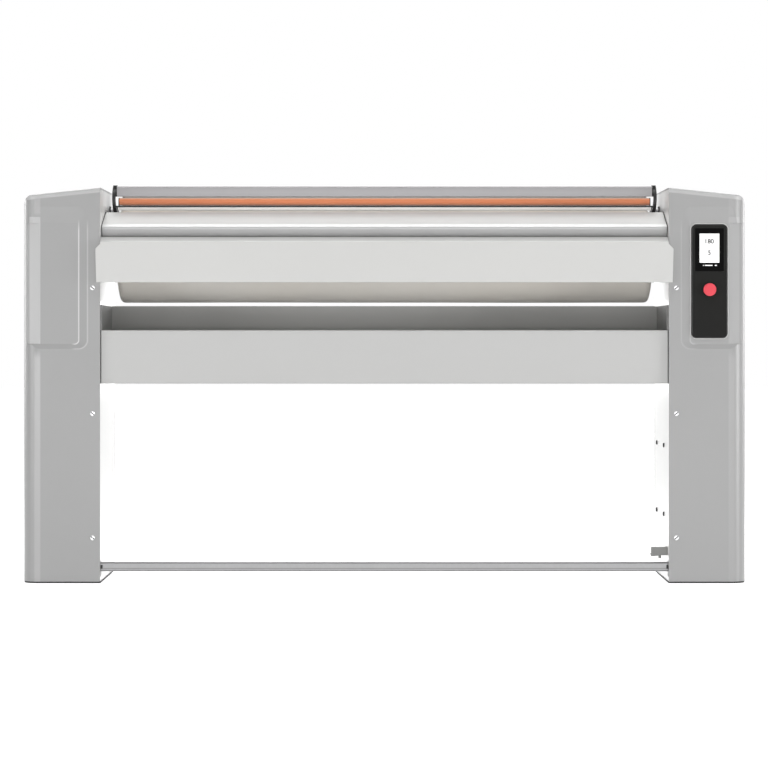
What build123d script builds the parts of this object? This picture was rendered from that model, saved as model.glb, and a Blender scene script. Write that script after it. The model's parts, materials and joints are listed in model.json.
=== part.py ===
from build123d import *
import math
import os

# Flatwork ironer with a padded roller between two side cabinets.
# Millimetres, +X to the right seen from the front, -Y the front, +Z up, floor at Z = 0.
# "Depth" is measured back from the front faces of the cabinets.

# ---------------------------------------------------------------- overall sizes
OVERALL_WIDTH = 1866.0
CABINET_WIDTH = 200.0
CABINET_DEPTH = 430.0
CABINET_TOP = 1020.0        # at the inner wall
TOP_FALL = 0.1047           # fall of the cabinet top per mm outwards
COVER_BOTTOM = 4.0
COVER_T = 4.0
TOP_CORNER_R = 28.0
FRONT_CORNER_R = 42.0
REAR_CORNER_R = 16.0
TOP_EDGE_R = 12.0
OVERRUN = 40.0              # how far cutting tools reach past the metal
SEAT_GAP = 0.3              # gap between pieces that move on one another
SLIP = 0.05                 # radial clearance of a shaft in its bush

# recess pressed in each cabinet front
RECESS_DEPTH = 4.0
RECESS_LIP_IN = 37.0        # from the inner wall
RECESS_FLOOR_IN = 55.0
RECESS_BEVEL_OUT = 42.0     # from the outer face
RECESS_BEVEL_END_OUT = 11.0
RECESS_LOW_DROP = 416.0     # below the cabinet top
RECESS_HIGH_DROP = 50.0
RECESS_LOW_SLOPE = 12.0     # width of the sloping step at the lower end
RECESS_TOP_SLOPE = 42.0
RECESS_CORNER_R = 23.0

# side frames
PANEL_T = 3.0
PANEL_FLANGE = 34.0
BASE_T = 3.0

# feet and the rubber strip round the foot of each cabinet
STRIP_INSET = 0.8
STRIP_W = 6.0
FOOT_R = 20.0
FOOT_STUD_R = 5.0
FOOT_STUD_TOP = 42.0
FOOT_NUT_R = 9.0
FOOT_NUT_H = 8.0
FOOT_SIDE_INSET = 42.0
FOOT_END_INSET = 50.0

# cover screws
SCREW_IN = 19.0             # from the inner wall
SCREW_HEAD_R = 6.2
SCREW_HEAD_H = 2.4
SCREW_SHANK_R = 2.4
SCREW_LENGTH = 12.0
SCREW_SLOT = 2.2
SCREW_HEIGHTS = (117.0, 437.0, 761.0)

# ventilation slots in the cabinet backs
VENT_COUNT = 9
VENT_W = 96.0
VENT_H = 5.0
VENT_PITCH = 14.0
VENT_DROP = 208.0
VENT_MIDDLE_IN = 106.0      # from the inner wall

# roller
ROLLER_R = 125.0
ROLLER_DEPTH = 239.0
ROLLER_DROP = 170.0         # of the axis, below the cabinet top
PADDING_T = 12.4
PADDING_CLEAR = 31.0        # from the padded end to the inner wall
PADDING_LEAN = 5.0          # how far the padded end leans in at its rim
PADDING_EDGE_R = 11.0
PADDING_LIP_R = 70.0
TUBE_WALL = 5.0
TUBE_CLEAR = 43.0           # from the tube end to the inner wall
DISC_T = 10.0
DISC_INSET = 6.0
HUB_R = 34.0
HUB_LENGTH = 40.0
SHAFT_R = 20.0
SHAFT_OVERHANG = 57.0       # past the inner wall on the idle side
SHAFT_PROUD = 4.0           # of the driven shaft, past the pulley
SHAFT_HOLE_CLEAR = 8.0

# heated chest
CHEST_GAP = 0.5
CHEST_T = 12.0
CHEST_CLEAR = 43.0          # from the chest end to the inner wall
CHEST_LOW_DEG = -60.0
CHEST_HIGH_DEG = 88.0
ELEMENT_COUNT = 6
ELEMENT_R = 4.5
ELEMENT_BOSS_R = 9.0
ELEMENT_FIRST_DEG = -32.0
ELEMENT_LAST_DEG = 76.0
INSULATION_GAP = 0.5        # between the element ribs and the blanket
INSULATION_T = 23.0
CASING_LOW_DEG = -42.0
CASING_HIGH_DEG = 86.0
CHEST_COVER_GAP = 1.0
CHEST_SKIN_T = 1.5
END_PLATE_T = 6.0
TRUNNION_BACK = 150.0       # from the roller axis
TRUNNION_DROP = 20.0
TRUNNION_R = 12.0
PIVOT_BACK = 106.0
PIVOT_DROP = 200.0
PIVOT_R = 12.5
SWING_DEG = 3.1

# linkage inside the cabinets
LINK_IN = 15.0              # mid plane of the arms, behind the inner wall
LINK_T = 8.0
ARM_R = 18.0
LEVER_R = 10.0
ROD_REACH = 60.0            # push rod in front of the pivot shaft
SPRING_REACH = 80.0
ROD_R = 6.0
SPRING_R = 9.0
SPRING_LENGTH = 135.0
SPRING_WIRE = 2.5
PEG_R = 5.0
GUIDE_HEIGHTS = (204.0, 444.0)
GUIDE_W = 28.0
GUIDE_H = 16.0
GUIDE_WALL = 6.0

# pedal
PEDAL_BAR_DEPTH = 23.5
PEDAL_BAR_Z = 41.2
PEDAL_BAR_W = 23.0
PEDAL_BAR_H = 23.0
PEDAL_BAR_WALL = 2.0
PEDAL_BAR_R = 4.0
PEDAL_PIVOT_DEPTH = 232.0
PEDAL_PIVOT_Z = 64.0
PEDAL_PIN_R = 6.0
PEDAL_EYE_R = 14.0
PEDAL_TAIL_R = 8.0
PEDAL_TRAVEL = 13.5
PEDAL_ARM_TIP_R = 10.0

# stop bracket over the right end of the foot bar
STOP_DEPTH = 38.0
STOP_W = 43.0
STOP_RUN = 34.0
STOP_T = 4.0
STOP_LOW_Z = 69.0
STOP_HIGH_Z = 91.0
STOP_DROOP = 3.0            # of the free end's lower corner
STOP_BOLT_IN = 19.0
STOP_BOLT_R = 3.5
STOP_BOLT_HEAD_R = 6.0
STOP_BOLT_TIP_Z = 61.0

# feed table: rises and drops are from the roller axis, here and below
TABLE_CLEAR = 2.0
SHEET_T = 1.5
TABLE_BACK_AHEAD = 84.0     # of the roller axis
TABLE_BACK_RISE = 113.0
TABLE_NOSE_DEPTH = 33.0
TABLE_NOSE_RISE = 71.0
TABLE_LIP_DEPTH = 41.0
TABLE_LIP_RISE = 44.0
LIP_RETURN = 30.0
TABLE_HEM = 8.0
LEDGE_INSET = 22.0
LEDGE_T = 3.0
LEDGE_W = 28.0
LEDGE_H = 26.0
NOSE_BEND_R = 6.0
BEND_R = 2.0

# apron
APRON_PROUD = 18.0
APRON_LOW_DROP = 75.0
APRON_BEND_RISE = 29.0
APRON_TOP_RISE = 43.0
APRON_TOP_DEPTH = 25.0
APRON_FLANGE_DEPTH = 62.0
APRON_EAR_LAP = 10.5        # over the cabinets
APRON_FOOT_LAP = 8.0
APRON_NECK_RISE = 24.0
APRON_EAR_RISE = 12.0
APRON_EAR_R = 7.0

# trough
TROUGH_FRONT_DEPTH = 12.0
TROUGH_LOW_DROP = 336.0
TROUGH_LIP_DROP = 198.0
TROUGH_BACK_CLEAR = 16.5    # from the chest shaft
TROUGH_BACK_DROP = 133.0
TROUGH_RETURN = 20.0

# tie beams between the side frames
BEAM_W = 40.0
BEAM_H = 55.0
BEAM_WALL = 3.0
REAR_BEAM_BACK = 31.0       # middle, behind the trough
REAR_BEAM_DROP = 299.0
FRONT_BEAM_DEPTH = 34.0
FRONT_BEAM_DROP = 14.0

# finger guard
GUARD_PIVOT_BACK = 45.0     # behind the roller axis
GUARD_PIVOT_RISE = 121.5
GUARD_PIN_R = 6.0
GUARD_COLLAR_T = 6.0
GUARD_EYE_R = 11.5
GUARD_CAM_R = 13.0
GUARD_ARM_CLEAR = 25.0      # from the arm's inner face to the inner wall
GUARD_ARM_T = 10.0
GUARD_NOSE_AHEAD = 39.0     # of the roller axis
GUARD_NOSE_RISE = 144.0
GUARD_TIP_AHEAD = 19.0
GUARD_TOP_RISE = 186.0
GUARD_TIP_W = 9.0
GUARD_WAIST = 17.0
GUARD_FOOT_LEAN = 2.0       # of the arm's lower end, towards the roller
GUARD_BOW = 1.5             # of the outer face, past its upper end
GUARD_THIN_T = 8.0          # arm thickness at the middle of the bow
GUARD_BAR_AHEAD = 23.0
GUARD_BAR_LOW_RISE = 156.0
GUARD_BAR_HIGH_RISE = 183.0
GUARD_BAR_T = 12.0
GUARD_BAR_LAP = 6.5         # into the arms, past the inner face at the top
GUARD_TUBE_R = 10.0
GUARD_TUBE_CLEAR = 8.0
GUARD_TUBE_AHEAD = 33.0
GUARD_TUBE_RISE = 142.0
GUARD_TUBE_WALL = 1.5
RAIL_END_T = 2.5
RAIL_LOW_RISE = 127.0
RAIL_T = 4.0
RAIL_W = 16.0
RAIL_LAP = 5.0              # into the arms

# control fascia
FASCIA_IN = 58.0            # from the inner wall
FASCIA_W = 93.0
FASCIA_H = 293.5
FASCIA_DROP = 95.0          # below the cabinet top
FASCIA_T = 3.0
FASCIA_R = 13.0
GLASS_W = 74.0
GLASS_H = 111.0
GLASS_DROP = 65.8           # of the middle, below the fascia's top edge
SCREEN_W = 51.0
SCREEN_H = 75.0
SCREEN_DROP = 61.6
MODULE_T = 24.0
BUTTON_DROP = 168.5
BUTTON_R = 16.5
BUTTON_TRAVEL = 5.0
BUTTON_CAP_T = 5.0
BUTTON_STEM_R = 8.0
BUTTON_BARREL_R = 11.0
BUTTON_STEM_DEPTH = 18.0
BUTTON_BARREL_DEPTH = 34.0
BUTTON_BLOCK_DEPTH = 58.0
BUTTON_BLOCK_W = 30.0
BUTTON_BLOCK_H = 40.0
BUTTON_COLLAR_T = 2.0

# drive, in the right cabinet
DRIVE_DEPTH = 240.0
DRIVE_Z = 261.0
DRIVE_BOLT_SPAN_Y = 206.0
DRIVE_BOLT_SPAN_Z = 180.0
DRIVE_BOLT_R = 4.0
DRIVE_BOLT_HEAD_R = 6.0
DRIVE_BOLT_HEAD_H = 3.5
DRIVE_PLATE_T = 6.0
DRIVE_PLATE_EDGE = 30.0
GEARBOX_W = 120.0
GEARBOX_H = 140.0
GEARBOX_T = 90.0
MOTOR_R = 50.0
MOTOR_LENGTH = 175.0
MOTOR_FLANGE_T = 10.0
MOTOR_STEP = 4.0            # of the barrel below the flange and cap
MOTOR_CAP_H = 26.0
TERMINAL_W = 40.0
TERMINAL_H = 60.0
TERMINAL_PROUD = 22.0
TERMINAL_UP = 50.0
GEARBOX_R = 20.0
GEARBOX_BOSS_R = 30.0
GEARBOX_BOSS_T = 8.0
DRIVE_SHAFT_R = 12.0
BELT_IN = 130.0             # from the inner wall
ROLLER_PULLEY_R = 120.0
DRIVE_RATIO = 3.0
BELT_PITCH_IN = 3.0         # of the belt's neutral line, below the pulley rims
PULLEY_W = 22.0
PULLEY_WEB_T = 8.0
PULLEY_RIM_T = 20.0
PULLEY_HUB_T = 12.0
BELT_TOP_W = 13.0
BELT_H = 8.0
GROOVE_HALF_DEG = 19.0

# fittings
BEARING_PLATE = 118.0
BEARING_BOLT_SPAN = 92.0
BEARING_T = 14.0
BEARING_CORNER_R = 16.0
BEARING_BOSS_R = 42.0
BEARING_BOSS_TIP_R = 37.0
BEARING_BOSS_H = 34.0       # from the wall
BEARING_INSERT_R = 30.0
BEARING_RING_R = 27.0
BEARING_RING_H = 42.0
BEARING_BOLT_R = 9.0
BEARING_BOLT_H = 8.0
GLAND_PROUD = 12.0
GLAND_R = 13.0
GLAND_Z = 164.0
GLAND_HEX_T = 5.0
GLAND_BORE_R = 5.0
POWER_PLATE_DEPTH = 60.0
POWER_PLATE_W = 140.0
POWER_PLATE_LOW_Z = 304.0
POWER_PLATE_H = 300.0
POWER_PLATE_T = 3.0
CONTACTOR_W = 48.0
CONTACTOR_H = 68.0
CONTACTOR_T = 57.0
CONTACTOR_STEP = 8.0        # less depth in each higher row
CONTACTOR_ROWS = 3
CONTACTOR_PITCH = 90.0
CONTACTOR_EDGE = 15.0
SWITCH_W = 30.0
SWITCH_T = 20.0
SWITCH_H = 40.0
SWITCH_PLUNGER = 8.0

# ---------------------------------------------------------------- derived places
FRONT_Y = APRON_PROUD - (APRON_PROUD + CABINET_DEPTH + GLAND_PROUD) / 2
REAR_Y = FRONT_Y + CABINET_DEPTH
OUTER_X = OVERALL_WIDTH / 2
WALL_X = OUTER_X - CABINET_WIDTH
PANEL_X = WALL_X + PANEL_T
BASE_TOP = COVER_BOTTOM + BASE_T
ROLLER_Z = CABINET_TOP - ROLLER_DROP
RECESS_LOW_Z = CABINET_TOP - RECESS_LOW_DROP
RECESS_HIGH_Z = CABINET_TOP - RECESS_HIGH_DROP
VENT_LOW_Z = CABINET_TOP - VENT_DROP
RECESS_LIP_X = WALL_X + RECESS_LIP_IN
RECESS_FLOOR_X = WALL_X + RECESS_FLOOR_IN
RECESS_BEVEL_X = OUTER_X - RECESS_BEVEL_OUT
RECESS_BEVEL_END_X = OUTER_X - RECESS_BEVEL_END_OUT
SCREW_X = WALL_X + SCREW_IN
PADDING_HALF = WALL_X - PADDING_CLEAR
TUBE_HALF = WALL_X - TUBE_CLEAR
TUBE_R = ROLLER_R - PADDING_T
CHEST_HALF = WALL_X - CHEST_CLEAR
CHEST_IN_R = ROLLER_R + CHEST_GAP
CHEST_OUT_R = CHEST_IN_R + CHEST_T
BOSS_OUT_R = CHEST_OUT_R + ELEMENT_BOSS_R * 1.5 + INSULATION_GAP
INSULATION_OUT_R = BOSS_OUT_R + INSULATION_T
SKIN_IN_R = INSULATION_OUT_R + CHEST_COVER_GAP
LINK_X = WALL_X + LINK_IN
LINK_IN_X = LINK_X - LINK_T / 2
LINK_OUT_X = LINK_X + LINK_T / 2
TABLE_HALF = WALL_X - TABLE_CLEAR
TABLE_BACK_DEPTH = ROLLER_DEPTH - TABLE_BACK_AHEAD
TABLE_BACK_Z = ROLLER_Z + TABLE_BACK_RISE
TABLE_NOSE_Z = ROLLER_Z + TABLE_NOSE_RISE
TABLE_LIP_Z = ROLLER_Z + TABLE_LIP_RISE
APRON_EAR_X = WALL_X + APRON_EAR_LAP
APRON_FOOT_X = WALL_X + APRON_FOOT_LAP
APRON_LOW_Z = ROLLER_Z - APRON_LOW_DROP
APRON_BEND_Z = ROLLER_Z + APRON_BEND_RISE
APRON_TOP_Z = ROLLER_Z + APRON_TOP_RISE
APRON_NECK_Z = ROLLER_Z + APRON_NECK_RISE
APRON_EAR_Z = ROLLER_Z + APRON_EAR_RISE
TROUGH_BACK_DEPTH = ROLLER_DEPTH + PIVOT_BACK - PIVOT_R - TROUGH_BACK_CLEAR
TROUGH_LOW_Z = ROLLER_Z - TROUGH_LOW_DROP
TROUGH_LIP_Z = ROLLER_Z - TROUGH_LIP_DROP
TROUGH_BACK_Z = ROLLER_Z - TROUGH_BACK_DROP
REAR_BEAM_DEPTH = TROUGH_BACK_DEPTH + REAR_BEAM_BACK
REAR_BEAM_Z = ROLLER_Z - REAR_BEAM_DROP
FRONT_BEAM_Z = ROLLER_Z - FRONT_BEAM_DROP
GUARD_PIVOT_DEPTH = ROLLER_DEPTH + GUARD_PIVOT_BACK
GUARD_PIVOT_Z = ROLLER_Z + GUARD_PIVOT_RISE
GUARD_ARM_INNER_X = WALL_X - GUARD_ARM_CLEAR
GUARD_NOSE_DEPTH = ROLLER_DEPTH - GUARD_NOSE_AHEAD
GUARD_NOSE_Z = ROLLER_Z + GUARD_NOSE_RISE
GUARD_TIP_DEPTH = ROLLER_DEPTH - GUARD_TIP_AHEAD
GUARD_TOP_Z = ROLLER_Z + GUARD_TOP_RISE
GUARD_BAR_DEPTH = ROLLER_DEPTH - GUARD_BAR_AHEAD
GUARD_BAR_LOW_Z = ROLLER_Z + GUARD_BAR_LOW_RISE
GUARD_BAR_HIGH_Z = ROLLER_Z + GUARD_BAR_HIGH_RISE
GUARD_TUBE_HALF = GUARD_ARM_INNER_X - GUARD_TUBE_CLEAR
GUARD_TUBE_DEPTH = ROLLER_DEPTH - GUARD_TUBE_AHEAD
GUARD_TUBE_Z = ROLLER_Z + GUARD_TUBE_RISE
RAIL_LOW_Z = ROLLER_Z + RAIL_LOW_RISE
FASCIA_X = WALL_X + FASCIA_IN + FASCIA_W / 2
FASCIA_HIGH_Z = CABINET_TOP - FASCIA_DROP
FASCIA_LOW_Z = FASCIA_HIGH_Z - FASCIA_H
GLASS_Z = FASCIA_HIGH_Z - GLASS_DROP
SCREEN_Z = FASCIA_HIGH_Z - SCREEN_DROP
BUTTON_Z = FASCIA_HIGH_Z - BUTTON_DROP
BELT_X = WALL_X + BELT_IN
DRIVE_PULLEY_R = (ROLLER_PULLEY_R - BELT_PITCH_IN) / DRIVE_RATIO + BELT_PITCH_IN
DRIVE_FACE_X = PANEL_X + DRIVE_PLATE_T


def at_depth(depth):
    """Y of a point that lies this far behind the cabinet fronts."""
    return FRONT_Y + depth


ROLLER_Y = at_depth(ROLLER_DEPTH)
PIVOT_Y = ROLLER_Y + PIVOT_BACK
PIVOT_Z = ROLLER_Z - PIVOT_DROP
TRUNNION_Y = ROLLER_Y + TRUNNION_BACK
TRUNNION_Z = ROLLER_Z - TRUNNION_DROP
GUARD_PIVOT_Y = at_depth(GUARD_PIVOT_DEPTH)
PUSH_ROD_Y = PIVOT_Y - ROD_REACH
SPRING_LOW_Z = PIVOT_Z - LEVER_R - SPRING_LENGTH


# ---------------------------------------------------------------- helpers
def side_face(x, sketch):
    """Place a (Y, Z) sketch in the plane at x."""
    return Plane.YZ.offset(x) * sketch


def prism_x(sketch, x0, x1):
    """Extrude a (Y, Z) sketch from x0 to x1."""
    return extrude(side_face(x0, sketch), x1 - x0)


def block(x0, x1, y0, y1, z0, z1):
    """Rectangular block between two corners."""
    centre = ((x0 + x1) / 2, (y0 + y1) / 2, (z0 + z1) / 2)
    return Pos(*centre) * Box(abs(x1 - x0), abs(y1 - y0), abs(z1 - z0))


def rod_x(x0, x1, y, z, radius):
    """Round bar along X."""
    return Pos((x0 + x1) / 2, y, z) * Rot(0, 90, 0) * Cylinder(radius, abs(x1 - x0))


def rod_y(y0, y1, x, z, radius):
    """Round bar along Y."""
    return Pos(x, (y0 + y1) / 2, z) * Rot(90, 0, 0) * Cylinder(radius, abs(y1 - y0))


def rod_z(z0, z1, x, y, radius):
    """Round bar along Z."""
    return Pos(x, y, (z0 + z1) / 2) * Cylinder(radius, abs(z1 - z0))


def turned_x(points, y, z):
    """Turn an (X, radius) outline about the X line through (y, z)."""
    return Pos(0, y, z) * revolve(make_face(Polyline(*points, close=True)), Axis.X)


def on_left(solid):
    """The same piece on the left side."""
    return mirror(solid, about=Plane.YZ)


def both_sides(solid):
    """A right-hand piece and its left-hand twin, as separate solids."""
    return [solid, on_left(solid)]


def folded_sheet(points, thickness, bend_radii):
    """(Y, Z) section of a folded sheet: the path is one face, the sheet lies to its left."""
    count = len(points)
    normals = []
    for (ya, za), (yb, zb) in zip(points, points[1:]):
        run = math.hypot(yb - ya, zb - za)
        normals.append(((za - zb) / run, (yb - ya) / run))
    inside = []
    for i in range(count):
        before = normals[max(i - 1, 0)]
        after = normals[min(i, count - 2)]
        mitre = 1 + before[0] * after[0] + before[1] * after[1]
        inside.append((points[i][0] + thickness * (before[0] + after[0]) / mitre,
                       points[i][1] + thickness * (before[1] + after[1]) / mitre))
    outer_radii, inner_radii = [], []
    for i, radius in enumerate(bend_radii):
        turn = normals[i][0] * normals[i + 1][1] - normals[i][1] * normals[i + 1][0]
        outer_radii.append(radius + thickness if turn > 0 else radius)
        inner_radii.append(radius if turn > 0 else radius + thickness)
    outer = FilletPolyline(*points, radius=outer_radii)
    inner = FilletPolyline(*inside, radius=inner_radii)
    return make_face([outer, inner, Line(points[0], inside[0]), Line(points[-1], inside[-1])])


def depths(*points):
    """Turn (depth, z) points into (y, z) points."""
    return [(at_depth(depth), z) for depth, z in points]


def around_roller(radius, degrees):
    """(y, z) at a polar place about the roller axis, 0 degrees to the rear."""
    angle = math.radians(degrees)
    return (ROLLER_Y + radius * math.cos(angle), ROLLER_Z + radius * math.sin(angle))


def roller_sector(inner_r, outer_r, low_deg, high_deg):
    """(Y, Z) ring sector about the roller axis."""
    mid = (low_deg + high_deg) / 2
    arcs = [ThreePointArc(*(around_roller(r, a) for a in (low_deg, mid, high_deg)))
            for r in (inner_r, outer_r)]
    ends = [Line(around_roller(inner_r, a), around_roller(outer_r, a))
            for a in (low_deg, high_deg)]
    return make_face(arcs + ends)


# ---------------------------------------------------------------- cabinets
def plan_outline(inset, inner_x):
    """Plan view of the right cabinet, its outer faces moved in by inset."""
    front, rear, outer = FRONT_Y + inset, REAR_Y - inset, OUTER_X - inset
    outline = make_face(Polyline((inner_x, front), (outer, front), (outer, rear),
                                 (inner_x, rear), close=True))
    corners = outline.vertices().sort_by(Axis.X)[-2:].sort_by(Axis.Y)
    outline = fillet(corners[0], FRONT_CORNER_R - inset)
    corner = outline.vertices().sort_by(Axis.Y)[-2:].sort_by(Axis.X)[-1]
    return fillet(corner, REAR_CORNER_R - inset)


def top_z(x, inset=0.0):
    """Height of the cabinet top at x."""
    return CABINET_TOP - TOP_FALL * (x - WALL_X) - inset * math.hypot(1, TOP_FALL)


def cabinet_form(inset):
    """Right cabinet envelope; with an inset it runs on past the open faces."""
    reach = OVERRUN if inset else 0.0
    inner_x, low_z = WALL_X - reach, COVER_BOTTOM - reach
    outer = OUTER_X - inset
    front_view = make_face(Polyline((inner_x, low_z), (outer, low_z),
                                    (outer, top_z(outer, inset)),
                                    (inner_x, top_z(inner_x, inset)), close=True))
    shoulder = front_view.vertices().sort_by(Axis.X)[-2:].sort_by(Axis.Y)[-1]
    front_view = fillet(shoulder, TOP_CORNER_R - inset)
    across = extrude(Plane.XZ.offset(-REAR_Y - OVERRUN) * front_view,
                     CABINET_DEPTH + 2 * OVERRUN)
    upright = extrude(Plane.XY.offset(low_z) * plan_outline(inset, inner_x), CABINET_TOP * 1.1)
    front, rear, crown = FRONT_Y + inset, REAR_Y - inset, top_z(inner_x, inset)
    side_view = make_face(Polyline((front, -OVERRUN * 2), (rear, -OVERRUN * 2),
                                   (rear, crown), (front, crown), close=True))
    side_view = fillet(side_view.vertices().sort_by(Axis.Y)[-2:], TOP_EDGE_R - inset)
    rounded = extrude(side_face(inner_x, side_view), CABINET_WIDTH + 2 * OVERRUN,
                      dir=(1, 0, -TOP_FALL))
    return across & upright & rounded


def recess_outline(lip, corner_r):
    """Front view of the recess, with its step moved in by lip."""
    step = (RECESS_FLOOR_X - RECESS_LIP_X) * lip
    left, right = RECESS_LIP_X + step, OUTER_X + OVERRUN
    low, high = RECESS_LOW_Z + RECESS_LOW_SLOPE * lip, RECESS_HIGH_Z - RECESS_TOP_SLOPE * lip
    frame = Pos((left + right) / 2, (low + high) / 2) * RectangleRounded(
        right - left, high - low, corner_r)
    return frame


def recess_tool():
    """Shallow pocket with a soft sloping step, and the flat bevel down the corner."""
    mouth = Plane.XZ.offset(-FRONT_Y) * recess_outline(0, RECESS_CORNER_R)
    floor = Plane.XZ.offset(-FRONT_Y - RECESS_DEPTH) * recess_outline(
        1, RECESS_CORNER_R - RECESS_LOW_SLOPE)
    pocket = loft([mouth, floor], ruled=True) + extrude(mouth, OVERRUN)
    reach = RECESS_BEVEL_END_X - RECESS_BEVEL_X
    bevel_end = FRONT_CORNER_R - math.sqrt(FRONT_CORNER_R ** 2 - reach ** 2)
    far_x = OUTER_X + OVERRUN
    far = RECESS_DEPTH + (bevel_end - RECESS_DEPTH) * (far_x - RECESS_BEVEL_X) / reach
    plan = make_face(Polyline((RECESS_BEVEL_X, at_depth(-OVERRUN)),
                              (RECESS_BEVEL_X, at_depth(RECESS_DEPTH)),
                              (far_x, at_depth(far)), (far_x, at_depth(-OVERRUN)), close=True))
    low, high = RECESS_LOW_Z, RECESS_HIGH_Z
    floor_low, floor_high = low + RECESS_LOW_SLOPE, high - RECESS_TOP_SLOPE
    ends = make_face(Polyline(*depths((-OVERRUN, low), (0, low), (RECESS_DEPTH, floor_low),
                                      (far, floor_low), (far, floor_high),
                                      (RECESS_DEPTH, floor_high), (0, high),
                                      (-OVERRUN, high)), close=True))
    corner = extrude(plan, CABINET_TOP) & prism_x(ends, RECESS_BEVEL_X, far_x)
    return pocket + corner


def screw_places():
    """Centres of the cover screws of the right cabinet."""
    return [(SCREW_X, z) for z in SCREW_HEIGHTS]


def cabinet_cover():
    """Moulded cover of the right cabinet, open to the inner panel and below."""
    recess = recess_tool()
    shell = cabinet_form(0) - recess
    shell -= cabinet_form(COVER_T) - Pos(0, COVER_T, 0) * recess
    for x, z in screw_places():
        shell -= rod_y(FRONT_Y - 1, REAR_Y + 1, x, z, SCREW_SHANK_R + SEAT_GAP)
    return shell - rear_vents()


def rear_vents():
    """Cutter for the round-ended slots in the back of the right cabinet."""
    slots = []
    for i in range(VENT_COUNT):
        slot = Pos(WALL_X + VENT_MIDDLE_IN, VENT_LOW_Z + i * VENT_PITCH) * SlotOverall(VENT_W, VENT_H)
        slots.append(extrude(Plane.XZ.offset(-REAR_Y - 1) * slot, COVER_T + 2))
    return slots


def foot_places():
    """Centres of the feet under the right cabinet."""
    return [(x, y) for x in (WALL_X + FOOT_SIDE_INSET, OUTER_X - FOOT_SIDE_INSET)
            for y in (FRONT_Y + FOOT_END_INSET, REAR_Y - FOOT_END_INSET)]


def drive_bolt_places():
    """(y, z) of the four bolts that hold the drive."""
    return [(at_depth(DRIVE_DEPTH) + sy * DRIVE_BOLT_SPAN_Y / 2, DRIVE_Z + sz * DRIVE_BOLT_SPAN_Z / 2)
            for sy in (-1, 1) for sz in (-1, 1)]


def trunnion_slot(radius):
    """(Y, Z) slot that the chest trunnion moves in."""
    swing = math.radians(SWING_DEG)
    back, down = swing * (PIVOT_DROP - TRUNNION_DROP), -swing * (TRUNNION_BACK - PIVOT_BACK)
    slot = SlotCenterToCenter(math.hypot(back, down), 2 * radius)
    slot = Rot(0, 0, math.degrees(math.atan2(down, back))) * slot
    return Pos(TRUNNION_Y + back / 2, TRUNNION_Z + down / 2) * slot


def inner_panel(with_drive):
    """Right side frame: the inner wall with flanges that the cover is screwed to."""
    front, rear = at_depth(COVER_T), REAR_Y - COVER_T
    wall_top = top_z(PANEL_X, COVER_T) - SEAT_GAP
    flange_top = top_z(WALL_X + PANEL_FLANGE, COVER_T) - SEAT_GAP
    panel = block(WALL_X, PANEL_X, front, rear, BASE_TOP, wall_top)
    panel -= prism_x(Pos(front, wall_top) * Rectangle(2 * TOP_EDGE_R, 2 * TOP_EDGE_R),
                     WALL_X - 1, PANEL_X + 1)
    panel -= prism_x(Pos(rear, wall_top) * Rectangle(2 * TOP_EDGE_R, 2 * TOP_EDGE_R),
                     WALL_X - 1, PANEL_X + 1)
    for y0, y1 in ((front, front + PANEL_T), (rear - PANEL_T, rear)):
        panel += block(WALL_X, WALL_X + PANEL_FLANGE, y0, y1, BASE_TOP, flange_top - TOP_EDGE_R)
    for x, z in screw_places():
        panel -= rod_y(front - 1, rear + 1, x, z, SCREW_SHANK_R)
    for y, z, radius in ((ROLLER_Y, ROLLER_Z, SHAFT_R + SHAFT_HOLE_CLEAR),
                         (PIVOT_Y, PIVOT_Z, PIVOT_R + 5),
                         (GUARD_PIVOT_Y, GUARD_PIVOT_Z, GUARD_PIN_R + 3)):
        panel -= rod_x(WALL_X - 1, PANEL_X + 1, y, z, radius)
    panel -= prism_x(trunnion_slot(TRUNNION_R + 3), WALL_X - 1, PANEL_X + 1)
    panel -= block(WALL_X - 1, PANEL_X + 1,
                   at_depth(PEDAL_BAR_DEPTH - PEDAL_BAR_W / 2 - 3),
                   at_depth(PEDAL_BAR_DEPTH + PEDAL_BAR_W / 2 + 4),
                   PEDAL_BAR_Z - PEDAL_BAR_H / 2 - PEDAL_TRAVEL,
                   PEDAL_BAR_Z + PEDAL_BAR_H / 2 + 4)
    if with_drive:
        for y, z in drive_bolt_places():
            panel -= rod_x(WALL_X - 1, PANEL_X + 1, y, z, DRIVE_BOLT_R + SEAT_GAP)
    return panel


def base_plate():
    """Floor of the right cabinet, bored for the foot studs."""
    plate = extrude(Plane.XY.offset(COVER_BOTTOM) * plan_outline(COVER_T, WALL_X), BASE_T)
    for x, y in foot_places():
        plate -= rod_z(0, BASE_TOP + 1, x, y, FOOT_STUD_R + SEAT_GAP)
    return plate


def plinth_strips():
    """Rubber strips under the edges of the cabinets."""
    outer = plan_outline(STRIP_INSET, WALL_X + STRIP_INSET)
    inner = plan_outline(STRIP_INSET + STRIP_W, WALL_X + STRIP_INSET + STRIP_W)
    return both_sides(extrude(outer - inner, COVER_BOTTOM))


def foot_pads():
    """Rubber pads and edge strips that the cabinets stand on."""
    pads = plinth_strips()
    for x, y in foot_places():
        pad = Pos(x, y, 0) * Cone(FOOT_R, FOOT_R - 4, COVER_BOTTOM,
                                  align=(Align.CENTER, Align.CENTER, Align.MIN))
        pad -= rod_z(COVER_BOTTOM / 3, COVER_BOTTOM + 1, x, y, FOOT_STUD_R)
        pads += both_sides(pad)
    return pads


def foot_studs():
    """Threaded stems of the feet, each with its nut on the base plate."""
    studs = []
    for x, y in foot_places():
        stud = rod_z(COVER_BOTTOM / 3, FOOT_STUD_TOP, x, y, FOOT_STUD_R)
        nut = Pos(x, y, BASE_TOP) * extrude(RegularPolygon(FOOT_NUT_R, 6), FOOT_NUT_H)
        studs += both_sides(stud + nut)
    return studs


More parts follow.
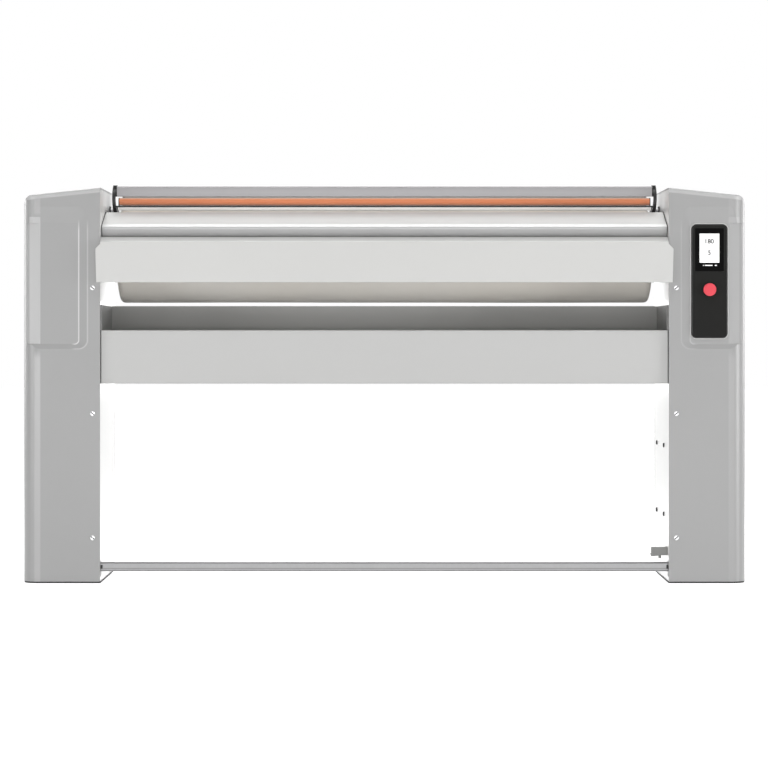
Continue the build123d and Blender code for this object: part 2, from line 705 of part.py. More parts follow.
def cover_screws():
    """Slotted screws down the inner edge of each cabinet, front and rear."""
    screws = []
    middle = Plane.XZ.offset(-(FRONT_Y + REAR_Y) / 2)
    for x, z in screw_places():
        head = rod_y(FRONT_Y - SCREW_HEAD_H, FRONT_Y, x, z, SCREW_HEAD_R)
        rim = head.edges().group_by(Axis.Y)[0]
        head = fillet(rim, SCREW_HEAD_H / 2)
        slot = Box(3 * SCREW_HEAD_R, SCREW_SLOT, SCREW_SLOT)
        head -= Pos(x, FRONT_Y - SCREW_HEAD_H, z) * Rot(0, -40, 0) * slot
        screw = head + rod_y(FRONT_Y, FRONT_Y + SCREW_LENGTH, x, z, SCREW_SHANK_R)
        screws += both_sides(screw) + both_sides(mirror(screw, about=middle))
    return screws


# ---------------------------------------------------------------- sheet metal between the walls
def feed_table():
    """Sloping feed table with a hemmed back edge, a rounded nose and a lip."""
    run, rise = TABLE_BACK_DEPTH - TABLE_NOSE_DEPTH, TABLE_BACK_Z - TABLE_NOSE_Z
    length = math.hypot(run, rise)
    hem = (TABLE_BACK_DEPTH + TABLE_HEM * rise / length, TABLE_BACK_Z - TABLE_HEM * run / length)
    path = depths(hem, (TABLE_BACK_DEPTH, TABLE_BACK_Z), (TABLE_NOSE_DEPTH, TABLE_NOSE_Z),
                  (TABLE_LIP_DEPTH, TABLE_LIP_Z), (TABLE_LIP_DEPTH + LIP_RETURN, TABLE_LIP_Z))
    return prism_x(folded_sheet(path, SHEET_T, (BEND_R, NOSE_BEND_R, BEND_R)),
                   -TABLE_HALF, TABLE_HALF)


def table_under(depth):
    """Underside of the feed table at this depth."""
    slope = (TABLE_BACK_Z - TABLE_NOSE_Z) / (TABLE_BACK_DEPTH - TABLE_NOSE_DEPTH)
    return TABLE_NOSE_Z + slope * (depth - TABLE_NOSE_DEPTH) - SHEET_T * math.hypot(1, slope)


def table_brackets():
    """Angles on the inner walls that carry the ends of the feed table."""
    low, high = TABLE_NOSE_DEPTH + LEDGE_INSET, TABLE_BACK_DEPTH - LEDGE_INSET
    ledge = make_face(Polyline(*depths((low, table_under(low)), (high, table_under(high)),
                                       (high, table_under(high) - LEDGE_T),
                                       (low, table_under(low) - LEDGE_T)), close=True))
    web = make_face(Polyline(*depths((low, table_under(low)), (high, table_under(high)),
                                     (high, table_under(high) - LEDGE_H),
                                     (low, table_under(low) - LEDGE_H)), close=True))
    bracket = prism_x(ledge, WALL_X - LEDGE_W, WALL_X) + prism_x(web, WALL_X - LEDGE_T, WALL_X)
    return both_sides(bracket)


def apron_tray(inset):
    """Front part of the apron, ahead of the cabinets; hollow when cut with an inset twin."""
    z_low = APRON_LOW_Z + inset
    ear, foot, neck = (x - inset for x in (APRON_EAR_X, APRON_FOOT_X, TABLE_HALF))
    right = [(neck, APRON_TOP_Z), (neck, APRON_NECK_Z), (ear, APRON_EAR_Z), (foot, z_low)]
    left = [(-x, z) for x, z in reversed(right)]
    outline = make_face(Polyline(*right, *left, close=True))
    ears = [v for v in outline.vertices() if abs(abs(v.X) - ear) < SLIP]
    outline = fillet(ears, APRON_EAR_R)
    reach = OVERRUN if inset else 0.0
    front = at_depth(-APRON_PROUD + inset)
    tray = extrude(Plane.XZ.offset(-FRONT_Y - reach) * outline, FRONT_Y + reach - front)
    lift = inset * 1.05
    slope = depths((-APRON_PROUD, APRON_LOW_Z - 1), (-APRON_PROUD, APRON_BEND_Z - lift),
                   (APRON_TOP_DEPTH, APRON_TOP_Z - lift), (APRON_TOP_DEPTH + OVERRUN, APRON_TOP_Z - lift),
                   (APRON_TOP_DEPTH + OVERRUN, APRON_LOW_Z - 1))
    return tray & prism_x(make_face(Polyline(*slope, close=True)), -OUTER_X, OUTER_X)


def front_apron():
    """Folded apron: a tray that laps both cabinets and a sloping top that runs under the table."""
    tray = apron_tray(0) - apron_tray(SHEET_T)
    top = folded_sheet(depths((APRON_FLANGE_DEPTH, APRON_TOP_Z), (APRON_TOP_DEPTH, APRON_TOP_Z),
                              (-APRON_PROUD, APRON_BEND_Z)), SHEET_T, (BEND_R * 2,))
    return tray + prism_x(top, -TABLE_HALF, TABLE_HALF)


def trough_front_panel():
    """Front panel of the linen trough, with a return along the top and bottom."""
    back = TROUGH_FRONT_DEPTH + TROUGH_RETURN
    path = depths((back, TROUGH_LIP_Z), (TROUGH_FRONT_DEPTH, TROUGH_LIP_Z),
                  (TROUGH_FRONT_DEPTH, TROUGH_LOW_Z), (back, TROUGH_LOW_Z))
    return prism_x(folded_sheet(path, SHEET_T, (BEND_R, BEND_R)), -TABLE_HALF, TABLE_HALF)


def trough_pan():
    """Open trough: floor, back wall and two end walls, with a low front inside the panel."""
    front = at_depth(TROUGH_FRONT_DEPTH + SHEET_T)
    back = at_depth(TROUGH_BACK_DEPTH)
    low, front_top = TROUGH_LOW_Z + SHEET_T + BEND_R, TROUGH_LIP_Z - SHEET_T - BEND_R
    pan = block(-WALL_X, WALL_X, front, back, low, TROUGH_BACK_Z)
    inside_x = WALL_X - SHEET_T
    pan -= block(-inside_x, inside_x, front + SHEET_T, back - SHEET_T, low + SHEET_T,
                 TROUGH_BACK_Z + 1)
    clear_of_panel = at_depth(TROUGH_FRONT_DEPTH + TROUGH_RETURN + SHEET_T)
    pan -= block(-WALL_X, WALL_X, front - 1, clear_of_panel, front_top, TROUGH_BACK_Z + 1)
    return pan


def tie_beam(depth, z):
    """Rectangular tube between the inner walls, with welded end plates."""
    y = at_depth(depth)
    beam = block(-WALL_X, WALL_X, y - BEAM_W / 2, y + BEAM_W / 2, z - BEAM_H / 2, z + BEAM_H / 2)
    bore = block(-WALL_X + BEAM_WALL, WALL_X - BEAM_WALL, y - BEAM_W / 2 + BEAM_WALL,
                 y + BEAM_W / 2 - BEAM_WALL, z - BEAM_H / 2 + BEAM_WALL, z + BEAM_H / 2 - BEAM_WALL)
    return beam - bore


# ---------------------------------------------------------------- roller
def roller_padding():
    """Padded cloth on the roller, drawn in over both ends."""
    rim_x = PADDING_HALF - PADDING_LEAN
    lip_x = TUBE_HALF + SLIP
    half = [(0, TUBE_R + SLIP), (lip_x, TUBE_R + SLIP), (lip_x, PADDING_LIP_R),
            (PADDING_HALF, PADDING_LIP_R), (rim_x, ROLLER_R), (0, ROLLER_R)]
    outline = make_face(Polyline(*half, close=True))
    rim = [v for v in outline.vertices() if abs(v.X - rim_x) < 0.1 and v.Y > ROLLER_R - 0.1]
    outline = fillet(rim, PADDING_EDGE_R)
    end = Pos(0, ROLLER_Y, ROLLER_Z) * revolve(outline, Axis.X)
    return end + on_left(end)


def roller_tube():
    """Steel tube of the roller."""
    inner = TUBE_R - TUBE_WALL
    return turned_x([(-TUBE_HALF, inner), (TUBE_HALF, inner), (TUBE_HALF, TUBE_R),
                     (-TUBE_HALF, TUBE_R)], ROLLER_Y, ROLLER_Z)


def roller_end_discs():
    """Discs with hubs that close the tube and hold the shafts."""
    outer = TUBE_HALF - DISC_INSET
    hub_x = outer - HUB_LENGTH
    rim = TUBE_R - TUBE_WALL
    disc = turned_x([(hub_x, SHAFT_R), (outer, SHAFT_R), (outer, rim), (outer - DISC_T, rim),
                     (outer - DISC_T, HUB_R), (hub_x, HUB_R)], ROLLER_Y, ROLLER_Z)
    return both_sides(disc)


def roller_shafts():
    """Stub shafts: the right one is longer and carries the pulley."""
    start = TUBE_HALF - DISC_INSET - HUB_LENGTH
    idle = rod_x(-start, -WALL_X - SHAFT_OVERHANG, ROLLER_Y, ROLLER_Z, SHAFT_R)
    driven = rod_x(start, BELT_X + PULLEY_W / 2 + SHAFT_PROUD, ROLLER_Y, ROLLER_Z, SHAFT_R)
    return [idle, driven]


def roller_bearings():
    """Flanged bearing units inside the cabinets: housing, insert and bolts."""
    units = []
    half = BEARING_PLATE / 2
    face, boss, ring = PANEL_X + BEARING_T, PANEL_X + BEARING_BOSS_H, PANEL_X + BEARING_RING_H
    plate = Pos(ROLLER_Y, ROLLER_Z) * RectangleRounded(2 * half, 2 * half, BEARING_CORNER_R)
    housing = prism_x(plate, PANEL_X, face)
    housing += turned_x([(face, 0), (face, BEARING_BOSS_R), (boss, BEARING_BOSS_TIP_R), (boss, 0)],
                        ROLLER_Y, ROLLER_Z)
    housing -= rod_x(PANEL_X - 1, boss + 1, ROLLER_Y, ROLLER_Z, BEARING_INSERT_R)
    insert = turned_x([(PANEL_X, SHAFT_R + SLIP), (PANEL_X, BEARING_INSERT_R),
                       (boss, BEARING_INSERT_R), (boss, BEARING_RING_R), (ring, BEARING_RING_R),
                       (ring, SHAFT_R + SLIP)], ROLLER_Y, ROLLER_Z)
    units += both_sides(housing) + both_sides(insert)
    for sy in (-1, 1):
        for sz in (-1, 1):
            y, z = ROLLER_Y + sy * BEARING_BOLT_SPAN / 2, ROLLER_Z + sz * BEARING_BOLT_SPAN / 2
            units += both_sides(rod_x(face, face + BEARING_BOLT_H, y, z, BEARING_BOLT_R))
    return units


# ---------------------------------------------------------------- heated chest
def element_places():
    """(y, z) of the heating elements along the back of the chest."""
    step = (ELEMENT_LAST_DEG - ELEMENT_FIRST_DEG) / (ELEMENT_COUNT - 1)
    return [around_roller(CHEST_OUT_R + ELEMENT_BOSS_R / 2, ELEMENT_FIRST_DEG + i * step)
            for i in range(ELEMENT_COUNT)]


def heated_chest():
    """Concave polished shoe, with rounded entry and exit and bored ribs for the elements."""
    middle_r = CHEST_IN_R + CHEST_T / 2
    shoe = roller_sector(CHEST_IN_R, CHEST_OUT_R, CHEST_LOW_DEG, CHEST_HIGH_DEG)
    for angle in (CHEST_LOW_DEG, CHEST_HIGH_DEG):
        shoe += Pos(*around_roller(middle_r, angle)) * Circle(CHEST_T / 2)
    for place in element_places():
        shoe += Pos(*place) * Circle(ELEMENT_BOSS_R)
    for place in element_places():
        shoe -= Pos(*place) * Circle(ELEMENT_R + SLIP)
    shoe -= Pos(ROLLER_Y, ROLLER_Z) * Circle(CHEST_IN_R)
    return prism_x(shoe, -CHEST_HALF, CHEST_HALF)


def heating_elements():
    """Rod elements with a terminal at each end."""
    rods = []
    for y, z in element_places():
        rods.append(rod_x(-CHEST_HALF, CHEST_HALF, y, z, ELEMENT_R))
    return rods


def chest_insulation():
    """Blanket between the chest and its cover."""
    blanket = roller_sector(BOSS_OUT_R, INSULATION_OUT_R, CASING_LOW_DEG + 1, CASING_HIGH_DEG - 1)
    return prism_x(blanket, -CHEST_HALF, CHEST_HALF)


def chest_cover():
    """Curved casing behind the chest, turned in at the top and bottom."""
    out_r = SKIN_IN_R + CHEST_SKIN_T
    low, high = CASING_LOW_DEG, CASING_HIGH_DEG
    skin = roller_sector(SKIN_IN_R, out_r, low, high)
    turn = math.degrees(CHEST_SKIN_T / SKIN_IN_R)
    skin += roller_sector(CHEST_OUT_R, out_r, low, low + turn)
    skin += roller_sector(CHEST_OUT_R, out_r, high - turn, high)
    skin -= Pos(ROLLER_Y, ROLLER_Z) * Circle(CHEST_OUT_R + SLIP)
    return prism_x(skin, -CHEST_HALF, CHEST_HALF)


def chest_end_plates():
    """Plates that close the chest ends and carry it."""
    out_r = SKIN_IN_R + CHEST_SKIN_T
    plate = roller_sector(CHEST_IN_R + 1.5, out_r, CASING_LOW_DEG, CASING_HIGH_DEG)
    return both_sides(prism_x(plate, CHEST_HALF, CHEST_HALF + END_PLATE_T))


def chest_trunnions():
    """Stub pins from the end plates through the wall slots to the chest arms."""
    face = CHEST_HALF + END_PLATE_T
    pin = rod_x(face, LINK_OUT_X + 4, TRUNNION_Y, TRUNNION_Z, TRUNNION_R)
    pin += rod_x(face, face + 8, TRUNNION_Y, TRUNNION_Z, TRUNNION_R + 6)
    return both_sides(pin)


def link_bar(places):
    """(Y, Z) outline of a flat link: round eyes (y, z, radius) joined by a tapering bar."""
    outline = Pos(*places[0][:2]) * Circle(places[0][2])
    for (ya, za, ra), (yb, zb, rb) in zip(places, places[1:]):
        run = math.hypot(yb - ya, zb - za)
        across = ((za - zb) / run, (yb - ya) / run)
        bar = make_face(Polyline((ya + across[0] * ra, za + across[1] * ra),
                                 (yb + across[0] * rb, zb + across[1] * rb),
                                 (yb - across[0] * rb, zb - across[1] * rb),
                                 (ya - across[0] * ra, za - across[1] * ra), close=True))
        outline += bar + Pos(yb, zb) * Circle(rb)
    return outline


def chest_arms():
    """Arms in the cabinets that carry the chest; the left one is cranked to the push rod."""
    arms = []
    for side in (-1, 1):
        outline = link_bar([(PIVOT_Y, PIVOT_Z, ARM_R), (TRUNNION_Y, TRUNNION_Z, ARM_R)])
        if side < 0:
            outline += link_bar([(PIVOT_Y, PIVOT_Z, LEVER_R),
                                 (PIVOT_Y - SPRING_REACH, PIVOT_Z, LEVER_R)])
        outline -= Pos(PIVOT_Y, PIVOT_Z) * Circle(PIVOT_R + SLIP)
        outline -= Pos(TRUNNION_Y, TRUNNION_Z) * Circle(TRUNNION_R + SLIP)
        arm = prism_x(outline, side * LINK_IN_X, side * LINK_OUT_X)
        arms.append(arm)
    return arms


def chest_pivot_shaft():
    """Shaft that ties both chest arms together, behind the trough."""
    return rod_x(-LINK_OUT_X - 6, LINK_OUT_X + 6, PIVOT_Y, PIVOT_Z, PIVOT_R)


def flanged_bush(y, z, bore_r, wall):
    """Bush through the inner wall, its flange on the wall face."""
    flange_r, flange_t = bore_r + wall + 2.5, 3.0
    bush = turned_x([(WALL_X - flange_t, bore_r + SLIP), (WALL_X - flange_t, flange_r),
                     (WALL_X, flange_r), (WALL_X, bore_r + wall), (PANEL_X + 2, bore_r + wall),
                     (PANEL_X + 2, bore_r + SLIP)], y, z)
    return bush


def pivot_bushes():
    """Bushes for the chest shaft and the guard pins."""
    return (both_sides(flanged_bush(PIVOT_Y, PIVOT_Z, PIVOT_R, 5.0))
            + both_sides(flanged_bush(GUARD_PIVOT_Y, GUARD_PIVOT_Z, GUARD_PIN_R, 3.0)))


# ---------------------------------------------------------------- pedal linkage
def push_rod():
    """Rod with domed ends, from the pedal arm to the lever of the left chest arm."""
    low = PEDAL_PIVOT_Z + PEDAL_TAIL_R + SEAT_GAP
    high = PIVOT_Z - LEVER_R - SEAT_GAP
    rod = rod_z(low, high, -LINK_X, PUSH_ROD_Y, ROD_R)
    return fillet(rod.edges(), ROD_R * 0.8)


def push_rod_guides():
    """Guide blocks on the left wall that the push rod slides in."""
    guides = []
    for z in GUIDE_HEIGHTS:
        guide = block(-PANEL_X, -LINK_X - ROD_R - GUIDE_WALL, PUSH_ROD_Y - GUIDE_W / 2,
                      PUSH_ROD_Y + GUIDE_W / 2, z - GUIDE_H / 2, z + GUIDE_H / 2)
        guide -= rod_z(z - GUIDE_H, z + GUIDE_H, -LINK_X, PUSH_ROD_Y, ROD_R + SLIP * 2)
        guides.append(guide)
    return guides


def pressure_spring():
    """Tension spring that draws the lever down and the chest to the roller."""
    y = PIVOT_Y - SPRING_REACH
    coil = rod_z(SPRING_LOW_Z, PIVOT_Z - LEVER_R, -LINK_X, y, SPRING_R)
    return coil - rod_z(SPRING_LOW_Z - 1, PIVOT_Z, -LINK_X, y, SPRING_R - SPRING_WIRE)


def spring_anchor():
    """Peg welded to the left wall under the pressure spring."""
    y, z = PIVOT_Y - SPRING_REACH, SPRING_LOW_Z
    middle_z = z - PEG_R - 2
    peg = rod_x(-WALL_X - PANEL_T / 2, -LINK_X, y, middle_z, PEG_R)
    return peg + rod_z(middle_z - PEG_R - 2, z, -LINK_X, y, SPRING_R)


def pedal_bar():
    """Foot bar between the cabinets."""
    y = at_depth(PEDAL_BAR_DEPTH)
    tube = Pos(y, PEDAL_BAR_Z) * RectangleRounded(PEDAL_BAR_W, PEDAL_BAR_H, PEDAL_BAR_R)
    tube -= Pos(y, PEDAL_BAR_Z) * RectangleRounded(
        PEDAL_BAR_W - 2 * PEDAL_BAR_WALL, PEDAL_BAR_H - 2 * PEDAL_BAR_WALL,
        PEDAL_BAR_R - PEDAL_BAR_WALL)
    return prism_x(tube, -LINK_IN_X, LINK_IN_X)


def pedal_arms():
    """Arms in the cabinets that carry the foot bar; the left one has a tail under the push rod."""
    arms = []
    pivot = (at_depth(PEDAL_PIVOT_DEPTH), PEDAL_PIVOT_Z, PEDAL_EYE_R)
    front = (at_depth(PEDAL_BAR_DEPTH), PEDAL_BAR_Z, PEDAL_ARM_TIP_R)
    for side in (-1, 1):
        outline = link_bar([front, pivot])
        if side < 0:
            outline += link_bar([(pivot[0], pivot[1], PEDAL_TAIL_R),
                                 (PUSH_ROD_Y + 4, PEDAL_PIVOT_Z, PEDAL_TAIL_R)])
        outline -= Pos(pivot[0], pivot[1]) * Circle(PEDAL_PIN_R + SLIP)
        arms.append(prism_x(outline, side * LINK_IN_X, side * LINK_OUT_X))
    return arms


def pedal_pivot_pins():
    """Shouldered pins on the inner walls that the pedal arms turn on."""
    y = at_depth(PEDAL_PIVOT_DEPTH)
    pin = rod_x(PANEL_X, LINK_OUT_X + 3, y, PEDAL_PIVOT_Z, PEDAL_PIN_R)
    pin += rod_x(PANEL_X, LINK_IN_X - SEAT_GAP, y, PEDAL_PIVOT_Z, PEDAL_PIN_R + 4)
    pin += rod_x(LINK_OUT_X + SEAT_GAP, LINK_OUT_X + 3, y, PEDAL_PIVOT_Z, PEDAL_PIN_R + 3)
    return both_sides(pin)


def pedal_stop_bracket():
    """Angle on the right wall over the end of the foot bar, with its stop bolt."""
    y, bolt_x, bolt_y = at_depth(STOP_DEPTH), WALL_X - STOP_BOLT_IN, at_depth(STOP_DEPTH + STOP_RUN / 2)
    free_x = WALL_X - STOP_W
    face = make_face(Polyline((free_x, STOP_LOW_Z - STOP_DROOP), (bolt_x, STOP_LOW_Z),
                              (WALL_X, STOP_LOW_Z), (WALL_X, STOP_HIGH_Z), (free_x, STOP_HIGH_Z),
                              close=True))
    angle = extrude(Plane.XZ.offset(-y - STOP_T) * face, STOP_T)
    angle += block(WALL_X - STOP_T, WALL_X, y, y + STOP_RUN, STOP_LOW_Z, STOP_HIGH_Z)
    angle += block(free_x, WALL_X, y, y + STOP_RUN, STOP_LOW_Z, STOP_LOW_Z + STOP_T)
    angle -= rod_z(STOP_LOW_Z - 1, STOP_LOW_Z + STOP_T + 1, bolt_x, bolt_y, STOP_BOLT_R)
    head_z = STOP_LOW_Z + STOP_T
    bolt = rod_z(STOP_BOLT_TIP_Z, head_z + STOP_BOLT_R, bolt_x, bolt_y, STOP_BOLT_R)
    bolt += rod_z(head_z, head_z + STOP_BOLT_R, bolt_x, bolt_y, STOP_BOLT_HEAD_R)
    return [angle, bolt]


# ---------------------------------------------------------------- finger guard
def guard_arms():
    """Crescent arms beside the roller ends, each with an eye at the rear."""
    eye = (GUARD_PIVOT_Y, GUARD_PIVOT_Z)
    low = (eye[0], eye[1] - GUARD_EYE_R)
    nose = (at_depth(GUARD_NOSE_DEPTH), GUARD_NOSE_Z)
    tip = (at_depth(GUARD_TIP_DEPTH), GUARD_TOP_Z)
    tip_back = (tip[0] + GUARD_TIP_W, GUARD_TOP_Z)
    inner_nose = (nose[0] + GUARD_WAIST, nose[1] + GUARD_WAIST * 0.35)
    high = (eye[0], eye[1] + GUARD_EYE_R)
    crescent = make_face([ThreePointArc(low, nose, tip), Line(tip, tip_back),
                          ThreePointArc(tip_back, inner_nose, high), Line(high, low)])
    crescent += Pos(*eye) * Circle(GUARD_EYE_R)
    crescent -= Pos(*eye) * Circle(GUARD_PIN_R)
    inner, outer = GUARD_ARM_INNER_X, GUARD_ARM_INNER_X + GUARD_ARM_T
    bow = outer + GUARD_BOW
    middle_z = (low[1] + GUARD_TOP_Z) / 2
    front_view = make_face([
        ThreePointArc((inner - GUARD_FOOT_LEAN, low[1]), (bow - GUARD_THIN_T, middle_z),
                      (inner - GUARD_FOOT_LEAN / 2, GUARD_TOP_Z)),
        Line((inner - GUARD_FOOT_LEAN / 2, GUARD_TOP_Z), (outer, GUARD_TOP_Z)),
        ThreePointArc((outer, GUARD_TOP_Z), (bow, middle_z), (outer - GUARD_FOOT_LEAN, low[1])),
        Line((outer - GUARD_FOOT_LEAN, low[1]), (inner - GUARD_FOOT_LEAN, low[1]))])
    arm = prism_x(crescent, inner - OVERRUN, bow + OVERRUN)
    arm &= extrude(Plane.XZ.offset(-REAR_Y) * front_view, CABINET_DEPTH)
    return both_sides(arm - guard_bar(SLIP) - rail_strip(SLIP))


def guard_bar(clearance=0.0):
    """Top bar let into the arms at both ends, with a rounded crown."""
    height = GUARD_BAR_HIGH_Z - GUARD_BAR_LOW_Z
    section = Pos(at_depth(GUARD_BAR_DEPTH), GUARD_BAR_LOW_Z + height / 2) * Rectangle(
        GUARD_BAR_T + 2 * clearance, height + 2 * clearance)
    section = fillet(section.vertices().sort_by(Axis.Y)[-2:], GUARD_BAR_T * 0.48)
    reach = GUARD_ARM_INNER_X + GUARD_BAR_LAP + clearance
    return prism_x(section, -reach, reach)


def guard_tube():
    """Coloured tube over the feed gap."""
    y = at_depth(GUARD_TUBE_DEPTH)
    inner = GUARD_TUBE_R - GUARD_TUBE_WALL
    return turned_x([(-GUARD_TUBE_HALF, inner), (GUARD_TUBE_HALF, inner),
                     (GUARD_TUBE_HALF, GUARD_TUBE_R), (-GUARD_TUBE_HALF, GUARD_TUBE_R)],
                    y, GUARD_TUBE_Z)


def rail_strip(clearance=0.0):
    """Flat of the rail, let into the arms at both ends."""
    y, half = at_depth(GUARD_TUBE_DEPTH), RAIL_W / 2 + clearance
    reach = GUARD_ARM_INNER_X + RAIL_LAP + clearance
    return block(-reach, reach, y - half, y + half, RAIL_LOW_Z - clearance,
                 RAIL_LOW_Z + RAIL_T + clearance)


def guard_rail():
    """Dark rail under the tube, with upturned ends that hold it."""
    y = at_depth(GUARD_TUBE_DEPTH)
    rail = rail_strip()
    for side in (-1, 1):
        x0 = side * GUARD_TUBE_HALF
        x1 = x0 + side * RAIL_END_T
        rail += rod_x(x0, x1, y, GUARD_TUBE_Z, GUARD_TUBE_R)
        rail += block(x0, x1, y - GUARD_TUBE_R, y + GUARD_TUBE_R, RAIL_LOW_Z, GUARD_TUBE_Z)
    return rail


def guard_pivot_pins():
    """Pins of the guard, with a collar beside the arm and a cam in the cabinet."""
    inner = GUARD_ARM_INNER_X
    pin = rod_x(inner, LINK_OUT_X, GUARD_PIVOT_Y, GUARD_PIVOT_Z, GUARD_PIN_R)
    collar = inner + GUARD_ARM_T + GUARD_BOW
    pin += rod_x(collar, collar + GUARD_COLLAR_T, GUARD_PIVOT_Y, GUARD_PIVOT_Z,
                 GUARD_PIN_R + GUARD_COLLAR_T / 2)
    pin += rod_x(PANEL_X + 4, LINK_OUT_X, GUARD_PIVOT_Y, GUARD_PIVOT_Z, GUARD_CAM_R)
    return both_sides(pin)


def guard_switch():
    """Safety switch under the cam of the right guard pin."""
    top = GUARD_PIVOT_Z - GUARD_CAM_R - SEAT_GAP
    body_top = top - SWITCH_PLUNGER
    body = block(PANEL_X, PANEL_X + SWITCH_T, GUARD_PIVOT_Y - SWITCH_W / 2,
                 GUARD_PIVOT_Y + SWITCH_W / 2, body_top - SWITCH_H, body_top)
    return body + rod_z(body_top, top, PANEL_X + SWITCH_T / 2, GUARD_PIVOT_Y, SWITCH_PLUNGER / 2)


# ---------------------------------------------------------------- controls
def front_plate(x, z, width, height, corner_r, depth0, depth1):
    """Upright plate with rounded corners between two depths."""
    shape = Pos(x, z) * RectangleRounded(width, height, corner_r)
    return extrude(Plane.XZ.offset(-at_depth(depth1)) * shape, depth1 - depth0)


def control_fascia():
    """Panel in the recess of the right cabinet, open for the display and the button."""
    front = RECESS_DEPTH - FASCIA_T
    plate = front_plate(FASCIA_X, (FASCIA_LOW_Z + FASCIA_HIGH_Z) / 2,
                        FASCIA_W, FASCIA_HIGH_Z - FASCIA_LOW_Z,
                        FASCIA_R, front, RECESS_DEPTH)
    plate -= front_plate(FASCIA_X, GLASS_Z, GLASS_W, GLASS_H, 2, front - 1, RECESS_DEPTH + 1)
    plate -= rod_y(at_depth(front - 1), at_depth(RECESS_DEPTH + 1), FASCIA_X, BUTTON_Z,
                   BUTTON_BARREL_R)
    return plate


def display_glass():
    """Black surround of the display."""
    front = RECESS_DEPTH - FASCIA_T
    glass = front_plate(FASCIA_X, GLASS_Z, GLASS_W - 2 * SLIP, GLASS_H - 2 * SLIP, 2,
                        front, RECESS_DEPTH)
    return glass - front_plate(FASCIA_X, SCREEN_Z, SCREEN_W, SCREEN_H, 1, front - 1,
                               RECESS_DEPTH + 1)


def display_screen():
    """Lit screen in its window."""
    front = RECESS_DEPTH - FASCIA_T
    return front_plate(FASCIA_X, SCREEN_Z, SCREEN_W - 2 * SLIP, SCREEN_H - 2 * SLIP, 1,
                       front, RECESS_DEPTH)


def display_module():
    """Display board and its case, behind the fascia."""
    return front_plate(FASCIA_X, GLASS_Z, GLASS_W - 6, GLASS_H - 6, 2, RECESS_DEPTH,
                       RECESS_DEPTH + MODULE_T)


def stop_button_cap():
    """Mushroom push button with its stem."""
    back = RECESS_DEPTH - FASCIA_T - BUTTON_COLLAR_T - BUTTON_TRAVEL - SEAT_GAP
    cap = rod_y(at_depth(back - BUTTON_CAP_T), at_depth(back), FASCIA_X, BUTTON_Z, BUTTON_R)
    cap = fillet(cap.edges().group_by(Axis.Y)[0], BUTTON_CAP_T * 0.6)
    return cap + rod_y(at_depth(back), at_depth(BUTTON_STEM_DEPTH), FASCIA_X, BUTTON_Z, BUTTON_STEM_R)


def stop_button_base():
    """Collar, barrel and contact block of the stop button."""
    front = RECESS_DEPTH - FASCIA_T
    collar = at_depth(front - BUTTON_COLLAR_T)
    base = rod_y(collar, at_depth(front), FASCIA_X, BUTTON_Z, BUTTON_R - 2)
    base += rod_y(at_depth(front), at_depth(BUTTON_BARREL_DEPTH), FASCIA_X, BUTTON_Z,
                  BUTTON_BARREL_R - SLIP)
    base += block(FASCIA_X - BUTTON_BLOCK_W / 2, FASCIA_X + BUTTON_BLOCK_W / 2,
                  at_depth(BUTTON_BARREL_DEPTH), at_depth(BUTTON_BLOCK_DEPTH),
                  BUTTON_Z - BUTTON_BLOCK_H / 2, BUTTON_Z + BUTTON_BLOCK_H / 2)
    return base - rod_y(collar - 1, at_depth(BUTTON_STEM_DEPTH + BUTTON_TRAVEL + 1), FASCIA_X,
                        BUTTON_Z, BUTTON_STEM_R + SLIP)


# ---------------------------------------------------------------- drive
def groove_points(outer_r):
    """(X, radius) outline of a V-belt pulley rim and web, from its bore radius outwards."""
    half = PULLEY_W / 2
    groove_depth = BELT_H + 3
    mouth = BELT_TOP_W / 2 + SEAT_GAP
    root = mouth - groove_depth * math.tan(math.radians(GROOVE_HALF_DEG))
    return [(BELT_X - half, outer_r), (BELT_X - mouth, outer_r),
            (BELT_X - root, outer_r - groove_depth), (BELT_X + root, outer_r - groove_depth),
            (BELT_X + mouth, outer_r), (BELT_X + half, outer_r)]


def roller_pulley():
    """Large pulley on the roller shaft, with a thin web and a hub."""
    half, web = PULLEY_W / 2, PULLEY_WEB_T / 2
    rim_r, hub_r = ROLLER_PULLEY_R - PULLEY_RIM_T, SHAFT_R + PULLEY_HUB_T
    right = [(BELT_X + half, rim_r), (BELT_X + web, rim_r), (BELT_X + web, hub_r),
             (BELT_X + half, hub_r), (BELT_X + half, SHAFT_R + SLIP)]
    left = [(2 * BELT_X - x, r) for x, r in reversed(right)]
    return turned_x(groove_points(ROLLER_PULLEY_R) + right + left, ROLLER_Y, ROLLER_Z)


def drive_pulley():
    """Small pulley on the gearbox shaft."""
    half = PULLEY_W / 2
    bore = [(BELT_X + half, DRIVE_SHAFT_R + SLIP), (BELT_X - half, DRIVE_SHAFT_R + SLIP)]
    return turned_x(groove_points(DRIVE_PULLEY_R) + bore, at_depth(DRIVE_DEPTH), DRIVE_Z)


def drive_shaft():
    """Output shaft of the gearbox."""
    x0 = DRIVE_FACE_X + GEARBOX_T * 0.5
    return rod_x(x0, BELT_X + PULLEY_W / 2 + 3, at_depth(DRIVE_DEPTH), DRIVE_Z, DRIVE_SHAFT_R)


